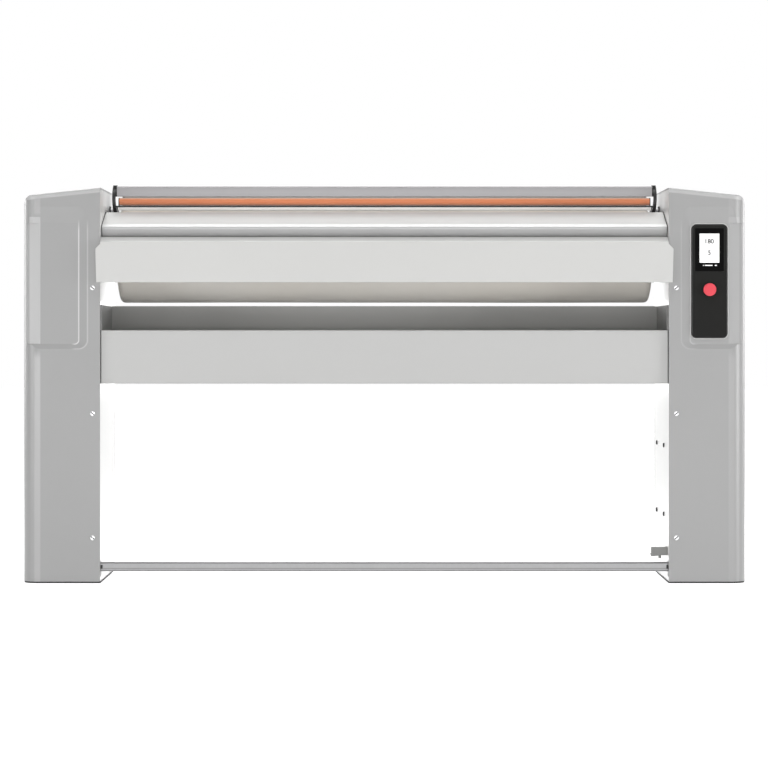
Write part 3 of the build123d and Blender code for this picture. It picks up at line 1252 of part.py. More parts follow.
def drive_belt():
    """V-belt round both pulleys, as two straight flights and two arcs."""
    top_y, low_y = ROLLER_Y, at_depth(DRIVE_DEPTH)
    lay = BELT_H - 1.0
    big, small = ROLLER_PULLEY_R - lay, DRIVE_PULLEY_R - lay
    line_angle = math.atan2(DRIVE_Z - ROLLER_Z, low_y - top_y)
    spread = math.acos((big - small) / math.hypot(DRIVE_Z - ROLLER_Z, low_y - top_y))

    def on_circle(y, z, radius, angle):
        return (BELT_X, y + radius * math.cos(angle), z + radius * math.sin(angle))

    a, b = line_angle + spread, line_angle - spread
    big_arc = ThreePointArc(on_circle(top_y, ROLLER_Z, big, a),
                            on_circle(top_y, ROLLER_Z, big, line_angle + math.pi),
                            on_circle(top_y, ROLLER_Z, big, b))
    small_arc = ThreePointArc(on_circle(low_y, DRIVE_Z, small, b),
                              on_circle(low_y, DRIVE_Z, small, line_angle),
                              on_circle(low_y, DRIVE_Z, small, a))
    flights = [Line(big_arc @ 1, small_arc @ 0), Line(small_arc @ 1, big_arc @ 0)]
    path = Wire([big_arc.edge(), flights[0].edge(), small_arc.edge(), flights[1].edge()])
    low_half = BELT_TOP_W / 2 - BELT_H * math.tan(math.radians(GROOVE_HALF_DEG))
    start = path @ 0
    outward = Vector(0, start.Y - top_y, start.Z - ROLLER_Z).normalized()
    plane = Plane(origin=start, x_dir=(1, 0, 0), z_dir=Vector(1, 0, 0).cross(outward))
    section = make_face(Polyline((-low_half, 0), (low_half, 0), (BELT_TOP_W / 2, BELT_H),
                                 (-BELT_TOP_W / 2, BELT_H), close=True))
    return sweep(plane * section, path=path)


def drive_mount_plate():
    """Plate inside the right wall that the gearbox is bolted to."""
    y = at_depth(DRIVE_DEPTH)
    shape = Pos(y, DRIVE_Z) * RectangleRounded(
        DRIVE_BOLT_SPAN_Y + DRIVE_PLATE_EDGE, DRIVE_BOLT_SPAN_Z + DRIVE_PLATE_EDGE,
        DRIVE_BOLT_HEAD_R)
    plate = prism_x(shape, PANEL_X, DRIVE_FACE_X)
    for by, bz in drive_bolt_places():
        plate -= rod_x(PANEL_X - 1, DRIVE_FACE_X + 1, by, bz, DRIVE_BOLT_R)
    return plate


def drive_mount_bolts():
    """Bolts through the right wall, heads on the visible side, nuts on the plate."""
    bolts = []
    for y, z in drive_bolt_places():
        head = rod_x(WALL_X - DRIVE_BOLT_HEAD_H, WALL_X, y, z, DRIVE_BOLT_HEAD_R)
        head = fillet(head.edges().group_by(Axis.X)[0], DRIVE_BOLT_HEAD_H * 0.6)
        bolt = head + rod_x(WALL_X, DRIVE_FACE_X + 9, y, z, DRIVE_BOLT_R - SLIP)
        bolt += rod_x(DRIVE_FACE_X, DRIVE_FACE_X + 7, y, z, DRIVE_BOLT_HEAD_R + 1)
        bolts.append(bolt)
    return bolts


def gearbox():
    """Worm gearbox with a cylindrical boss round its output shaft."""
    y = at_depth(DRIVE_DEPTH)
    face = DRIVE_FACE_X
    shape = Pos(y, DRIVE_Z) * RectangleRounded(GEARBOX_W, GEARBOX_H, GEARBOX_R)
    box = prism_x(shape, face, face + GEARBOX_T)
    boss = face + GEARBOX_T + GEARBOX_BOSS_T
    box += rod_x(face + GEARBOX_T, boss, y, DRIVE_Z, GEARBOX_BOSS_R)
    return box - rod_x(face + GEARBOX_T / 2 - 1, boss + 1, y, DRIVE_Z, DRIVE_SHAFT_R + SLIP)


def drive_motor():
    """Flanged motor standing on the gearbox, with its terminal box."""
    x, y = DRIVE_FACE_X + MOTOR_R + 6, at_depth(DRIVE_DEPTH)
    low = DRIVE_Z + GEARBOX_H / 2
    motor = rod_z(low, low + MOTOR_FLANGE_T, x, y, MOTOR_R)
    motor += rod_z(low, low + MOTOR_LENGTH, x, y, MOTOR_R - MOTOR_STEP)
    motor += rod_z(low + MOTOR_LENGTH - MOTOR_CAP_H, low + MOTOR_LENGTH, x, y, MOTOR_R)
    motor += block(x - TERMINAL_W / 2, x + TERMINAL_W / 2, y - MOTOR_R - TERMINAL_PROUD, y,
                   low + TERMINAL_UP, low + TERMINAL_UP + TERMINAL_H)
    return motor


def cable_gland():
    """Gland in the rear of the right cabinet, with its locknut inside."""
    inside = REAR_Y - COVER_T
    hexagon = extrude(RegularPolygon(GLAND_R + 2, 6), GLAND_HEX_T)
    body = Pos(FASCIA_X, REAR_Y, GLAND_Z) * Rot(-90, 0, 0) * hexagon
    body += rod_y(REAR_Y, REAR_Y + GLAND_PROUD, FASCIA_X, GLAND_Z, GLAND_R - 3)
    body += rod_y(inside - GLAND_HEX_T, REAR_Y, FASCIA_X, GLAND_Z, GLAND_R - 4)
    body += rod_y(inside - GLAND_HEX_T, inside, FASCIA_X, GLAND_Z, GLAND_R + 1)
    return body - rod_y(inside - 2 * GLAND_HEX_T, REAR_Y + GLAND_PROUD + 1, FASCIA_X, GLAND_Z,
                        GLAND_BORE_R)


def power_plate():
    """Mounting plate for the switchgear, inside the left wall."""
    return block(-PANEL_X, -PANEL_X - POWER_PLATE_T, at_depth(POWER_PLATE_DEPTH),
                 at_depth(POWER_PLATE_DEPTH + POWER_PLATE_W), POWER_PLATE_LOW_Z,
                 POWER_PLATE_LOW_Z + POWER_PLATE_H)


def contactors():
    """Switchgear blocks on the power plate."""
    blocks = []
    face = -PANEL_X - POWER_PLATE_T
    edges = (POWER_PLATE_DEPTH + CONTACTOR_EDGE,
             POWER_PLATE_DEPTH + POWER_PLATE_W - CONTACTOR_EDGE - CONTACTOR_W)
    for row in range(CONTACTOR_ROWS):
        z = POWER_PLATE_LOW_Z + 2 * CONTACTOR_EDGE + row * CONTACTOR_PITCH
        for depth in edges:
            blocks.append(block(face, face - CONTACTOR_T + row * CONTACTOR_STEP, at_depth(depth),
                                at_depth(depth + CONTACTOR_W), z, z + CONTACTOR_H))
    return blocks


# ---------------------------------------------------------------- assembly
def right_cover():
    """Right cover, cut out for the controls and the gland."""
    cover = cabinet_cover()
    cover -= front_plate(FASCIA_X, GLASS_Z, GLASS_W - 5, GLASS_H - 5, 2, 0,
                         RECESS_DEPTH + COVER_T + 2)
    cover -= rod_y(FRONT_Y, at_depth(RECESS_DEPTH + COVER_T + 2), FASCIA_X, BUTTON_Z,
                   BUTTON_BARREL_R)
    return cover - rod_y(REAR_Y - COVER_T - 1, REAR_Y + 1, FASCIA_X, GLAND_Z, GLAND_R - 4)


def build():
    """Every node of the ironer, by name."""
    return {
        "left_inner_panel": on_left(inner_panel(False)) + spring_anchor(),
        "right_inner_panel": inner_panel(True),
        "left_cabinet_cover": on_left(cabinet_cover()),
        "right_cabinet_cover": right_cover(),
        "left_base_plate": on_left(base_plate()),
        "right_base_plate": base_plate(),
        "foot_pads": foot_pads(),
        "foot_studs": foot_studs(),
        "cover_screws": cover_screws(),
        "feed_table": feed_table(),
        "table_brackets": table_brackets(),
        "front_apron": front_apron(),
        "trough_front_panel": trough_front_panel(),
        "trough_pan": trough_pan(),
        "rear_tie_beam": tie_beam(REAR_BEAM_DEPTH, REAR_BEAM_Z),
        "front_tie_beam": tie_beam(FRONT_BEAM_DEPTH, FRONT_BEAM_Z),
        "roller_padding": roller_padding(),
        "roller_tube": roller_tube(),
        "roller_end_discs": roller_end_discs(),
        "roller_shafts": roller_shafts(),
        "roller_bearings": roller_bearings(),
        "roller_pulley": roller_pulley(),
        "heated_chest": heated_chest(),
        "heating_elements": heating_elements(),
        "chest_insulation": chest_insulation(),
        "chest_cover": chest_cover(),
        "chest_end_plates": chest_end_plates(),
        "chest_trunnions": chest_trunnions(),
        "chest_arms": chest_arms(),
        "chest_pivot_shaft": chest_pivot_shaft(),
        "pivot_bushes": pivot_bushes(),
        "push_rod": push_rod(),
        "push_rod_guides": push_rod_guides(),
        "pressure_spring": pressure_spring(),
        "pedal_bar": pedal_bar(),
        "pedal_arms": pedal_arms(),
        "pedal_pivot_pins": pedal_pivot_pins(),
        "pedal_stop_bracket": pedal_stop_bracket(),
        "guard_arms": guard_arms(),
        "guard_bar": guard_bar(),
        "guard_tube": guard_tube(),
        "guard_rail": guard_rail(),
        "guard_pivot_pins": guard_pivot_pins(),
        "guard_switch": guard_switch(),
        "control_fascia": control_fascia(),
        "display_glass": display_glass(),
        "display_screen": display_screen(),
        "display_module": display_module(),
        "stop_button_cap": stop_button_cap(),
        "stop_button_base": stop_button_base(),
        "drive_mount_plate": drive_mount_plate(),
        "drive_mount_bolts": drive_mount_bolts(),
        "gearbox": gearbox(),
        "drive_motor": drive_motor(),
        "drive_shaft": drive_shaft(),
        "drive_pulley": drive_pulley(),
        "drive_belt": drive_belt(),
        "cable_gland": cable_gland(),
        "power_plate": power_plate(),
        "contactors": contactors(),
    }


def solids_of(piece):
    """The solids of a piece or of a list of pieces."""
    pieces = piece if isinstance(piece, list) else [piece]
    return [solid for one in pieces for solid in one.solids()]


os.makedirs("parts", exist_ok=True)
for name, piece in build().items():
    node = Compound(children=solids_of(piece))
    node.label = name
    export_step(node, f"parts/{name}.step")
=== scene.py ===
"""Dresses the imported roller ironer: studio, finishes and the pieces that CAD keeps plain."""

import json
import logging
import math
from collections.abc import Callable, Iterable
from dataclasses import dataclass
from enum import Enum
from itertools import product
from typing import TypeAlias

import bpy
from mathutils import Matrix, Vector

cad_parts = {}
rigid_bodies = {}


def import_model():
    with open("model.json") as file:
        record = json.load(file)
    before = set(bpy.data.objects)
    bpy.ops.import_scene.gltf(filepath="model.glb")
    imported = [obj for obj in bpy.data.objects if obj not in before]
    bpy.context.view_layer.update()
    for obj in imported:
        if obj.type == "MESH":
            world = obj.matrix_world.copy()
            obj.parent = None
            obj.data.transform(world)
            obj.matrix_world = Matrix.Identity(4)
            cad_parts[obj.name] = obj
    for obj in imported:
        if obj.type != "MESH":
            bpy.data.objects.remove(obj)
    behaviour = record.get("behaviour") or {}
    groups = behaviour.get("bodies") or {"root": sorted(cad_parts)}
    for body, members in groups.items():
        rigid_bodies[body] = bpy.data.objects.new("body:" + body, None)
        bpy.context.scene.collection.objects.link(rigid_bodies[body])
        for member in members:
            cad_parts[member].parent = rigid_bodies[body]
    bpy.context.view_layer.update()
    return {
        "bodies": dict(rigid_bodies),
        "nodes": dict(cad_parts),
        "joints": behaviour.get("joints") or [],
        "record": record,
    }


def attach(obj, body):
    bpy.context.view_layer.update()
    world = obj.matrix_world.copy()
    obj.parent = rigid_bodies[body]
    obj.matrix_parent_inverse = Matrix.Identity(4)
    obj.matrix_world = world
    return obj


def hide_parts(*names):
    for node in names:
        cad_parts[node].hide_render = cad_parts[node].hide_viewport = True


LOG = logging.getLogger("ironer")

Colour: TypeAlias = tuple[float, float, float]
Point: TypeAlias = tuple[float, float, float]
Pair: TypeAlias = tuple[float, float]
Value: TypeAlias = "float | Shade"
Object: TypeAlias = bpy.types.Object

FRONT_Y = -0.212  # front faces of the cabinets
BACK_Y = FRONT_Y + 0.430  # their backs
WALL_X = 0.733  # inner walls, either side of the middle
WHITE: Colour = (1.0, 1.0, 1.0)


def linear(red: int, green: int, blue: int) -> Colour:
    """Turn a colour as seen on screen, 0 to 255, into linear light."""
    return tuple(
        c / 12.92 if c <= 0.04045 else ((c + 0.055) / 1.055) ** 2.4
        for c in (red / 255, green / 255, blue / 255)
    )


def scaled(colour: Colour, factor: float, plus: float = 0.0) -> Colour:
    """Make a colour lighter or darker."""
    return tuple(min(1.0, c * factor + plus) for c in colour)


# ---------------------------------------------------------------- shader maths
class Waves(Enum):
    """Layers of noise: waves a metre, octaves and weight of the finer octaves."""

    DRIFT = (1.7, 3.0, 0.5)
    SPECKLE = (420.0, 2.0, 0.5)
    PEEL = (620.0, 2.0, 0.6)
    RUBBING = (90.0, 4.0, 0.7)
    DUST = (7.0, 6.0, 0.65)
    DRAWN = (1.0, 4.0, 0.7)
    METAL = (14.0, 4.0, 0.6)
    ZINC = (26.0, 4.0, 0.6)
    CAST = (18.0, 4.0, 0.5)
    SAND = (520.0, 5.0, 0.7)
    SMEAR = (11.0, 4.0, 0.6)
    SPARKED = (1300.0, 2.0, 0.6)
    BLOOM = (35.0, 5.0, 0.7)
    RUBBER = (700.0, 3.0, 0.5)
    FIBRES = (260.0, 6.0, 0.8)
    SLUB = (1.0, 3.0, 0.6)
    PRESSED = (3.2, 4.0, 0.55)
    SCORCH = (1.3, 3.0, 0.5)
    PILE = (46.0, 4.0, 0.6)
    FINGERS = (30.0, 5.0, 0.7)
    HAZE = (40.0, 3.0, 0.5)
    FLOOR = (3.0, 3.0, 0.5)


class Shade:
    """A socket that adds Math nodes when it is used in arithmetic."""

    def __init__(self, tree: bpy.types.NodeTree, socket: bpy.types.NodeSocket) -> None:
        """Wrap one output socket of a node tree."""
        self.tree = tree
        self.socket = socket

    def _math(self, operation: str, *terms: Value, clamp: bool = False) -> "Shade":
        """Add one Math node.

        Args:
            operation: Blender's name of the operation.
            terms: the values or sockets that it works on, in order.
            clamp: keep the result from 0 to 1.

        Returns:
            The node's result.
        """
        node = self.tree.nodes.new("ShaderNodeMath")
        node.operation = operation
        node.use_clamp = clamp
        for place, term in zip(node.inputs, terms):
            if isinstance(term, Shade):
                self.tree.links.new(term.socket, place)
            else:
                place.default_value = term
        return Shade(self.tree, node.outputs[0])

    def __add__(self, other: Value) -> "Shade":
        """Sum."""
        return self._math("ADD", self, other)

    __radd__ = __add__

    def __sub__(self, other: Value) -> "Shade":
        """Difference."""
        return self._math("SUBTRACT", self, other)

    def __rsub__(self, other: Value) -> "Shade":
        """Difference, the other way round."""
        return self._math("SUBTRACT", other, self)

    def __mul__(self, other: Value) -> "Shade":
        """Product."""
        return self._math("MULTIPLY", self, other)

    __rmul__ = __mul__

    def __pow__(self, other: Value) -> "Shade":
        """Power."""
        return self._math("POWER", self, other)

    def __abs__(self) -> "Shade":
        """Size without sign."""
        return self._math("ABSOLUTE", self)

    def sine(self) -> "Shade":
        """Sine of an angle in radians."""
        return self._math("SINE", self)

    def above(self, edge: float) -> "Shade":
        """1 where the value is above edge, otherwise 0."""
        return self._math("GREATER_THAN", self, edge)

    def largest(self, other: Value) -> "Shade":
        """The larger of two values."""
        return self._math("MAXIMUM", self, other)

    def within(self) -> "Shade":
        """The value kept from 0 to 1."""
        return self._math("ADD", self, 0.0, clamp=True)

    def band(self, low: float, high: float) -> "Shade":
        """0 below low, 1 above high, and a straight rise between."""
        return self._math("MULTIPLY", self - low, 1.0 / (high - low), clamp=True)

    def step(self, edge: float, soft: float) -> "Shade":
        """0 below an edge and 1 above it, with a rise of soft on either side."""
        return self.band(edge - soft, edge + soft)

    def window(self, low: float, high: float, soft: float) -> "Shade":
        """1 between two edges, with a rise and a fall of soft on either side of each."""
        return self.step(low, soft) * (1.0 - self.step(high, soft))


def weighed(layers: Iterable[Shade], shares: Iterable[float]) -> Shade:
    """Sum of layers, each by its share."""
    first, *others = (layer * share for layer, share in zip(layers, shares))
    return sum(others, first)


class Nodes:
    """A node tree that is being filled."""

    def __init__(self, tree: bpy.types.NodeTree) -> None:
        """Take the tree."""
        self.tree = tree

    def node(self, kind: str, settings: dict[str, object] | None = None,
             values: dict[str | int, object] | None = None, out: str | int = 0) -> Shade:
        """Add a node of any kind but Math.

        Args:
            kind: its type, without the ShaderNode in front.
            settings: its own settings.
            values: sockets by name or number, each a value, a colour or a link.
            out: the output that is wanted.

        Returns:
            That output.
        """
        node = self.tree.nodes.new("ShaderNode" + kind)
        for key, setting in (settings or {}).items():
            setattr(node, key, setting)
        for key, value in (values or {}).items():
            self.feed(node.inputs[key], value)
        return Shade(self.tree, node.outputs[out])

    def feed(self, place: bpy.types.NodeSocket, value: object) -> None:
        """Give a socket a value, a colour or a link."""
        if isinstance(value, Shade):
            self.tree.links.new(value.socket, place)
        elif isinstance(value, tuple) and len(value) == 3 and place.type == "RGBA":
            place.default_value = (*value, 1.0)
        else:
            place.default_value = value

    def seen_by(self, *rays: str) -> Shade:
        """1 for these kinds of ray, otherwise 0."""
        first, *others = (self.node("LightPath", out=f"Is {ray} Ray") for ray in rays)
        for other in others:
            first = first.largest(other)
        return first

    def surface(self, output: str, mask: Shade, first: Shade, second: Shade) -> None:
        """Lead two shaders, mixed by a mask, to the output."""
        blend = self.node("MixShader", values={0: mask, 1: first, 2: second})
        self.feed(self.tree.nodes[output].inputs[0], blend)


class Recipe(Nodes):
    """One material under construction, with its Principled shader."""

    EDGE_TURN: Pair = (0.02, 0.25)  # turn of a normal where an edge starts and is full

    def __init__(self, name: str) -> None:
        """Start an empty material of this name."""
        self.material = bpy.data.materials.new(name)
        self.material.use_nodes = True
        super().__init__(self.material.node_tree)
        self.shader = self.tree.nodes["Principled BSDF"]

    def set(self, **values: object) -> None:
        """Set sockets of the Principled shader, with _ for each space in a name."""
        for key, value in values.items():
            name = key.replace("_", " ").title().replace("Ior", "IOR")
            self.feed(self.shader.inputs[name], value)

    def place(self) -> Shade:
        """Object coordinates, in metres in the machine's frame."""
        return self.node("TexCoord", out="Object")

    def axis(self, name: str, at: Shade | None = None) -> Shade:
        """X, Y or Z of a place, in Object coordinates by default."""
        return self.node("SeparateXYZ", values={0: at or self.place()}, out=name)

    def stretched(self, scale: Point, at: Shade | None = None) -> Shade:
        """A place, in Object coordinates by default, stretched by a scale on each axis."""
        return self.node("Mapping", values={"Vector": at or self.place(), "Scale": scale})

    def noise(self, waves: Waves, at: Shade | None = None) -> Shade:
        """Noise from 0 to 1 over a place, by default over Object coordinates."""
        scale, detail, rough = waves.value
        return self.node("TexNoise", values={"Vector": at or self.place(), "Scale": scale,
                                             "Detail": detail, "Roughness": rough})

    def mix(self, factor: Value, first: object, second: object) -> Shade:
        """Blend two colours by a factor."""
        return self.node("Mix", {"data_type": "RGBA"}, {0: factor, 6: first, 7: second}, out=2)

    def tint(self, colour: Colour, shade: Shade, spread: float) -> Shade:
        """A colour that runs a little darker and lighter with a value around 0.5."""
        return self.mix(shade, scaled(colour, 1.0 - spread), scaled(colour, 1.0 + spread))

    def bump(self, height: Shade, distance: float, strength: float,
             normal: Shade | None = None) -> Shade:
        """A normal bent by a height value."""
        values = {"Height": height, "Distance": distance, "Strength": strength}
        if normal:
            values["Normal"] = normal
        return self.node("Bump", values=values)

    def soft_edges(self, radius: float) -> Shade:
        """Normals that round every sharp edge by a small radius."""
        return self.node("Bevel", {"samples": 6}, {"Radius": radius})

    def edge_mask(self, radius: float) -> Shade:
        """1 along sharp edges and 0 on flat faces."""
        flat = self.node("NewGeometry", out="Normal")
        turn = self.node("VectorMath", {"operation": "DOT_PRODUCT"},
                         {0: self.soft_edges(radius), 1: flat}, out="Value")
        return (1.0 - turn).band(*self.EDGE_TURN)


# ---------------------------------------------------------------- finishes
@dataclass(frozen=True)
class Band:
    """Another colour near a height, or away from it: a band of painted highlight or painted shade.
    """

    colour: Colour
    edge: Pair  # distances from the height where it starts and is full
    weight: float = 1.0
    height: float = 0.0
    near: bool = False


@dataclass(frozen=True)
class Finish:
    """A finish of the machine, by the record's material slot."""

    slot: str
    colour: Colour
    roughness: float = 0.45
    swing: float = 0.12  # of the roughness
    mottling: float = 0.06  # how far the colour runs darker and lighter
    depth: float = 0.00012  # of the grain
    strength: float = 0.35
    edge_radius: float = 0.0008
    gloss: float = 0.5
    bands: tuple[Band, ...] = ()

    def tone(self, r: Recipe, plain: Shade) -> Shade:
        """The colour over the piece, with the bands of painted highlight and shade laid on it."""
        for band in self.bands:
            away = abs(r.axis("Z") - band.height).band(*band.edge)
            mask = (1.0 - away if band.near else away) * band.weight
            plain = r.mix(mask, plain, band.colour)
        return plain

    def dull(self, cloud: Shade) -> Shade:
        """Roughness that swings with a cloud."""
        return cloud * self.swing + (self.roughness - self.swing / 2)

    def relief(self, r: Recipe, grain: Shade) -> Shade:
        """Normals with the grain on them and with soft edges."""
        return r.bump(grain, self.depth, self.strength, r.soft_edges(self.edge_radius))

    def fill(self, r: Recipe) -> None:
        """Set the shader of the material."""
        raise NotImplementedError

    def material(self) -> bpy.types.Material:
        """Build the material."""
        recipe = Recipe(self.slot)
        self.fill(recipe)
        return recipe.material


@dataclass(frozen=True)
class SheetPaint(Finish):
    """Baked enamel on sheet metal or moulding, with orange peel and rubbed edges."""

    roughness: float = 0.42
    swing: float = 0.10
    mottling: float = 0.022
    edge_radius: float = 0.0012
    gloss: float = 0.45
    drift: Pair = (0.8, 0.2)  # shares of slow drift and of speckle in the colour
    rubbed: float = 0.12
    bare: Pair = (0.35, 0.7)  # of the rubbing noise, where an edge starts to be bare
    bare_roughness: float = 0.2
    bare_shine: Pair = (1.25, 0.05)
    coat: float = 0.0

    def fill(self, r: Recipe) -> None:
        """Set the enamel."""
        drift = weighed((r.noise(Waves.DRIFT), r.noise(Waves.SPECKLE)), self.drift)
        paint = r.tint(self.colour, drift, self.mottling)
        edge = (r.edge_mask(self.edge_radius) * r.noise(Waves.RUBBING).band(*self.bare)
                * self.rubbed).within()
        r.set(
            base_color=self.tone(r, r.mix(edge, paint, scaled(self.colour, *self.bare_shine))),
            roughness=(self.dull(r.noise(Waves.DUST)) + edge * self.bare_roughness).within(),
            specular_ior_level=self.gloss,
            coat_weight=self.coat,
            coat_roughness=0.18,
            normal=self.relief(r, r.noise(Waves.PEEL)),
        )


@dataclass(frozen=True)
class Metal(Finish):
    """Bare metal, drawn or machined along one direction."""

    swing: float = 0.08
    mottling: float = 0.05
    depth: float = 0.00003
    strength: float = 0.5
    edge_radius: float = 0.0006
    line_swing: float = 0.16
    grain: Point = (4.0, 900.0, 900.0)

    def fill(self, r: Recipe) -> None:
        """Set the metal."""
        lines, cloud = r.noise(Waves.DRAWN, r.stretched(self.grain)), r.noise(Waves.METAL)
        r.set(
            base_color=self.tone(r, r.tint(self.colour, cloud, self.mottling)),
            metallic=1.0,
            roughness=(self.dull(cloud) + (lines - 0.5) * self.line_swing).within(),
            normal=self.relief(r, lines),
        )


@dataclass(frozen=True)
class ZincPlate(Finish):
    """Zinc plating, with its faint spangle."""

    roughness: float = 0.34
    swing: float = 0.18
    mottling: float = 0.08
    depth: float = 0.00005
    strength: float = 0.4
    spangles: float = 160.0  # a metre
    spangled: float = 0.05  # roughness that they add

    def fill(self, r: Recipe) -> None:
        """Set the plating."""
        spangle = r.node("TexVoronoi", values={"Vector": r.place(), "Scale": self.spangles},
                         out="Distance")
        cloud = r.noise(Waves.ZINC)
        r.set(
            base_color=self.tone(r, r.tint(self.colour, (spangle + cloud) * 0.5, self.mottling)),
            metallic=0.85,
            roughness=(self.dull(cloud) + spangle * self.spangled).within(),
            normal=self.relief(r, cloud),
        )


@dataclass(frozen=True)
class Moulding(Finish):
    """Moulded plastic with a fine spark-eroded grain."""

    gloss: float = 0.25
    cloud: Waves = Waves.SMEAR
    grain: Waves = Waves.SPARKED

    def fill(self, r: Recipe) -> None:
        """Set the moulding."""
        cloud = r.noise(self.cloud)
        r.set(
            base_color=self.tone(r, r.tint(self.colour, cloud, self.mottling)),
            roughness=self.dull(cloud).within(),
            specular_ior_level=self.gloss,
            normal=self.relief(r, r.noise(self.grain)),
        )


@dataclass(frozen=True)
class Rubber(Moulding):
    """Moulded rubber, slightly bloomed."""

    roughness: float = 0.72
    swing: float = 0.2
    mottling: float = 0.3
    depth: float = 0.0002
    strength: float = 0.5
    edge_radius: float = 0.001
    gloss: float = 0.5
    cloud: Waves = Waves.BLOOM
    grain: Waves = Waves.RUBBER


@dataclass(frozen=True)
class Casting(Moulding):
    """Painted cast iron, with its sand texture and pale edges."""

    roughness: float = 0.555
    swing: float = 0.15
    mottling: float = 0.12
    depth: float = 0.0004
    strength: float = 0.6
    edge_radius: float = 0.0012
    gloss: float = 0.5
    cloud: Waves = Waves.CAST
    grain: Waves = Waves.SAND
    edge_weight: float = 0.5
    edge_shine: float = 2.2

    def tone(self, r: Recipe, plain: Shade) -> Shade:
        """Paler along the edges."""
        edge = r.edge_mask(self.edge_radius) * self.edge_weight
        return r.mix(edge, plain, scaled(self.colour, self.edge_shine))


@dataclass(frozen=True)
class Wool(Finish):
    """Mineral wool blanket or felt."""

    roughness: float = 0.95
    mottling: float = 0.25
    depth: float = 0.002
    strength: float = 0.8
    stretch: Point = (0.35, 1.0, 1.0)

    def fill(self, r: Recipe) -> None:
        """Set the wool."""
        fibres = r.noise(Waves.FIBRES, r.stretched(self.stretch))
        r.set(base_color=r.tint(self.colour, fibres, self.mottling), roughness=self.roughness,
              normal=r.bump(fibres, self.depth, self.strength))


@dataclass(frozen=True)
class RollerFabric(Finish):
    """Plain-woven cotton and polyester cloth, ironed smooth; the weave follows the UV map."""

    roughness: float = 0.97
    swing: float = 0.07
    mottling: float = 0.07
    depth: float = 0.00035
    strength: float = 0.7
    thread: float = 0.0011
    slub: Point = (40.0, 700.0, 1.0)
    look: Point = (0.45, 0.2, 0.35)  # shares of pressing, slub and weave in the colour
    height: tuple[float, ...] = (0.5, 0.25, 1.3, 1.2)  # of weave, slub, pile and lap
    wrap: float = 0.42  # metres of cloth that the lap's angle is measured by
    wrap_slant: float = 0.02
    lap_edge: Pair = (0.994, 0.998)
    scorched: Colour = (0.97, 0.90, 0.78)
    scorch_from: Pair = (0.45, 0.8)
    scorch_weight: float = 0.45

    def fill(self, r: Recipe) -> None:
        """Set the cloth."""
        uv = r.node("TexCoord", out="UV")
        along, around = r.axis("X", uv), r.axis("Y", uv)
        turn = 2.0 * math.pi / self.thread
        warp, weft = (along * turn).sine(), (around * turn).sine()
        half_warp = (along * (turn / 2.0)).sine().above(0.0)
        half_weft = (around * (turn / 2.0)).sine().above(0.0)
        over = abs(half_warp - half_weft)
        weave = over * abs(warp) + (1.0 - over) * abs(weft)
        slub = r.noise(Waves.SLUB, r.stretched(self.slub, uv))
        lap = abs((around * (1.0 / self.wrap) + along * self.wrap_slant).sine())
        look = weighed((r.noise(Waves.PRESSED), slub, weave), self.look)
        height = weighed((weave, slub, r.noise(Waves.PILE), lap.band(*self.lap_edge)), self.height)
        warm = tuple(c * k for c, k in zip(self.colour, self.scorched))
        scorch = r.noise(Waves.SCORCH).band(*self.scorch_from) * self.scorch_weight
        r.set(
            base_color=r.mix(scorch, r.tint(self.colour, look, self.mottling), warm),
            roughness=(self.roughness - weave * self.swing).within(),
            sheen_weight=0.25,
            sheen_roughness=0.5,
            specular_ior_level=0.2,
            normal=r.bump(height, self.depth, self.strength),
        )


@dataclass(frozen=True)
class Glass(Finish):
    """Gloss black display glass with faint finger smears."""

    roughness: float = 0.14
    swing: float = 0.16
    edge_radius: float = 0.0006
    gloss: float = 0.05
    stretch: Point = (1.0, 1.0, 0.35)
    smeared: Pair = (0.5, 0.9)

    def fill(self, r: Recipe) -> None:
        """Set the glass."""
        smear = r.noise(Waves.FINGERS, r.stretched(self.stretch)).band(*self.smeared)
        r.set(base_color=self.colour, roughness=self.dull(smear).within(),
              specular_ior_level=self.gloss, normal=r.soft_edges(self.edge_radius))


@dataclass(frozen=True)
class LitScreen(Finish):
    """Lit display: a white page with a faint pixel grid under clear glass."""

    roughness: float = 0.105
    swing: float = 0.05
    mottling: float = 0.02
    glow: float = 0.55
    pixel: float = 0.0005

    def fill(self, r: Recipe) -> None:
        """Set the screen."""
        turn = 2.0 * math.pi / self.pixel
        columns, rows = ((r.axis(name) * turn).sine() * 0.5 + 0.5 for name in "XZ")
        page = r.tint(self.colour, columns.largest(rows), self.mottling)
        r.set(base_color=page, emission_color=page, emission_strength=self.glow,
              roughness=self.dull(r.noise(Waves.HAZE)).within())


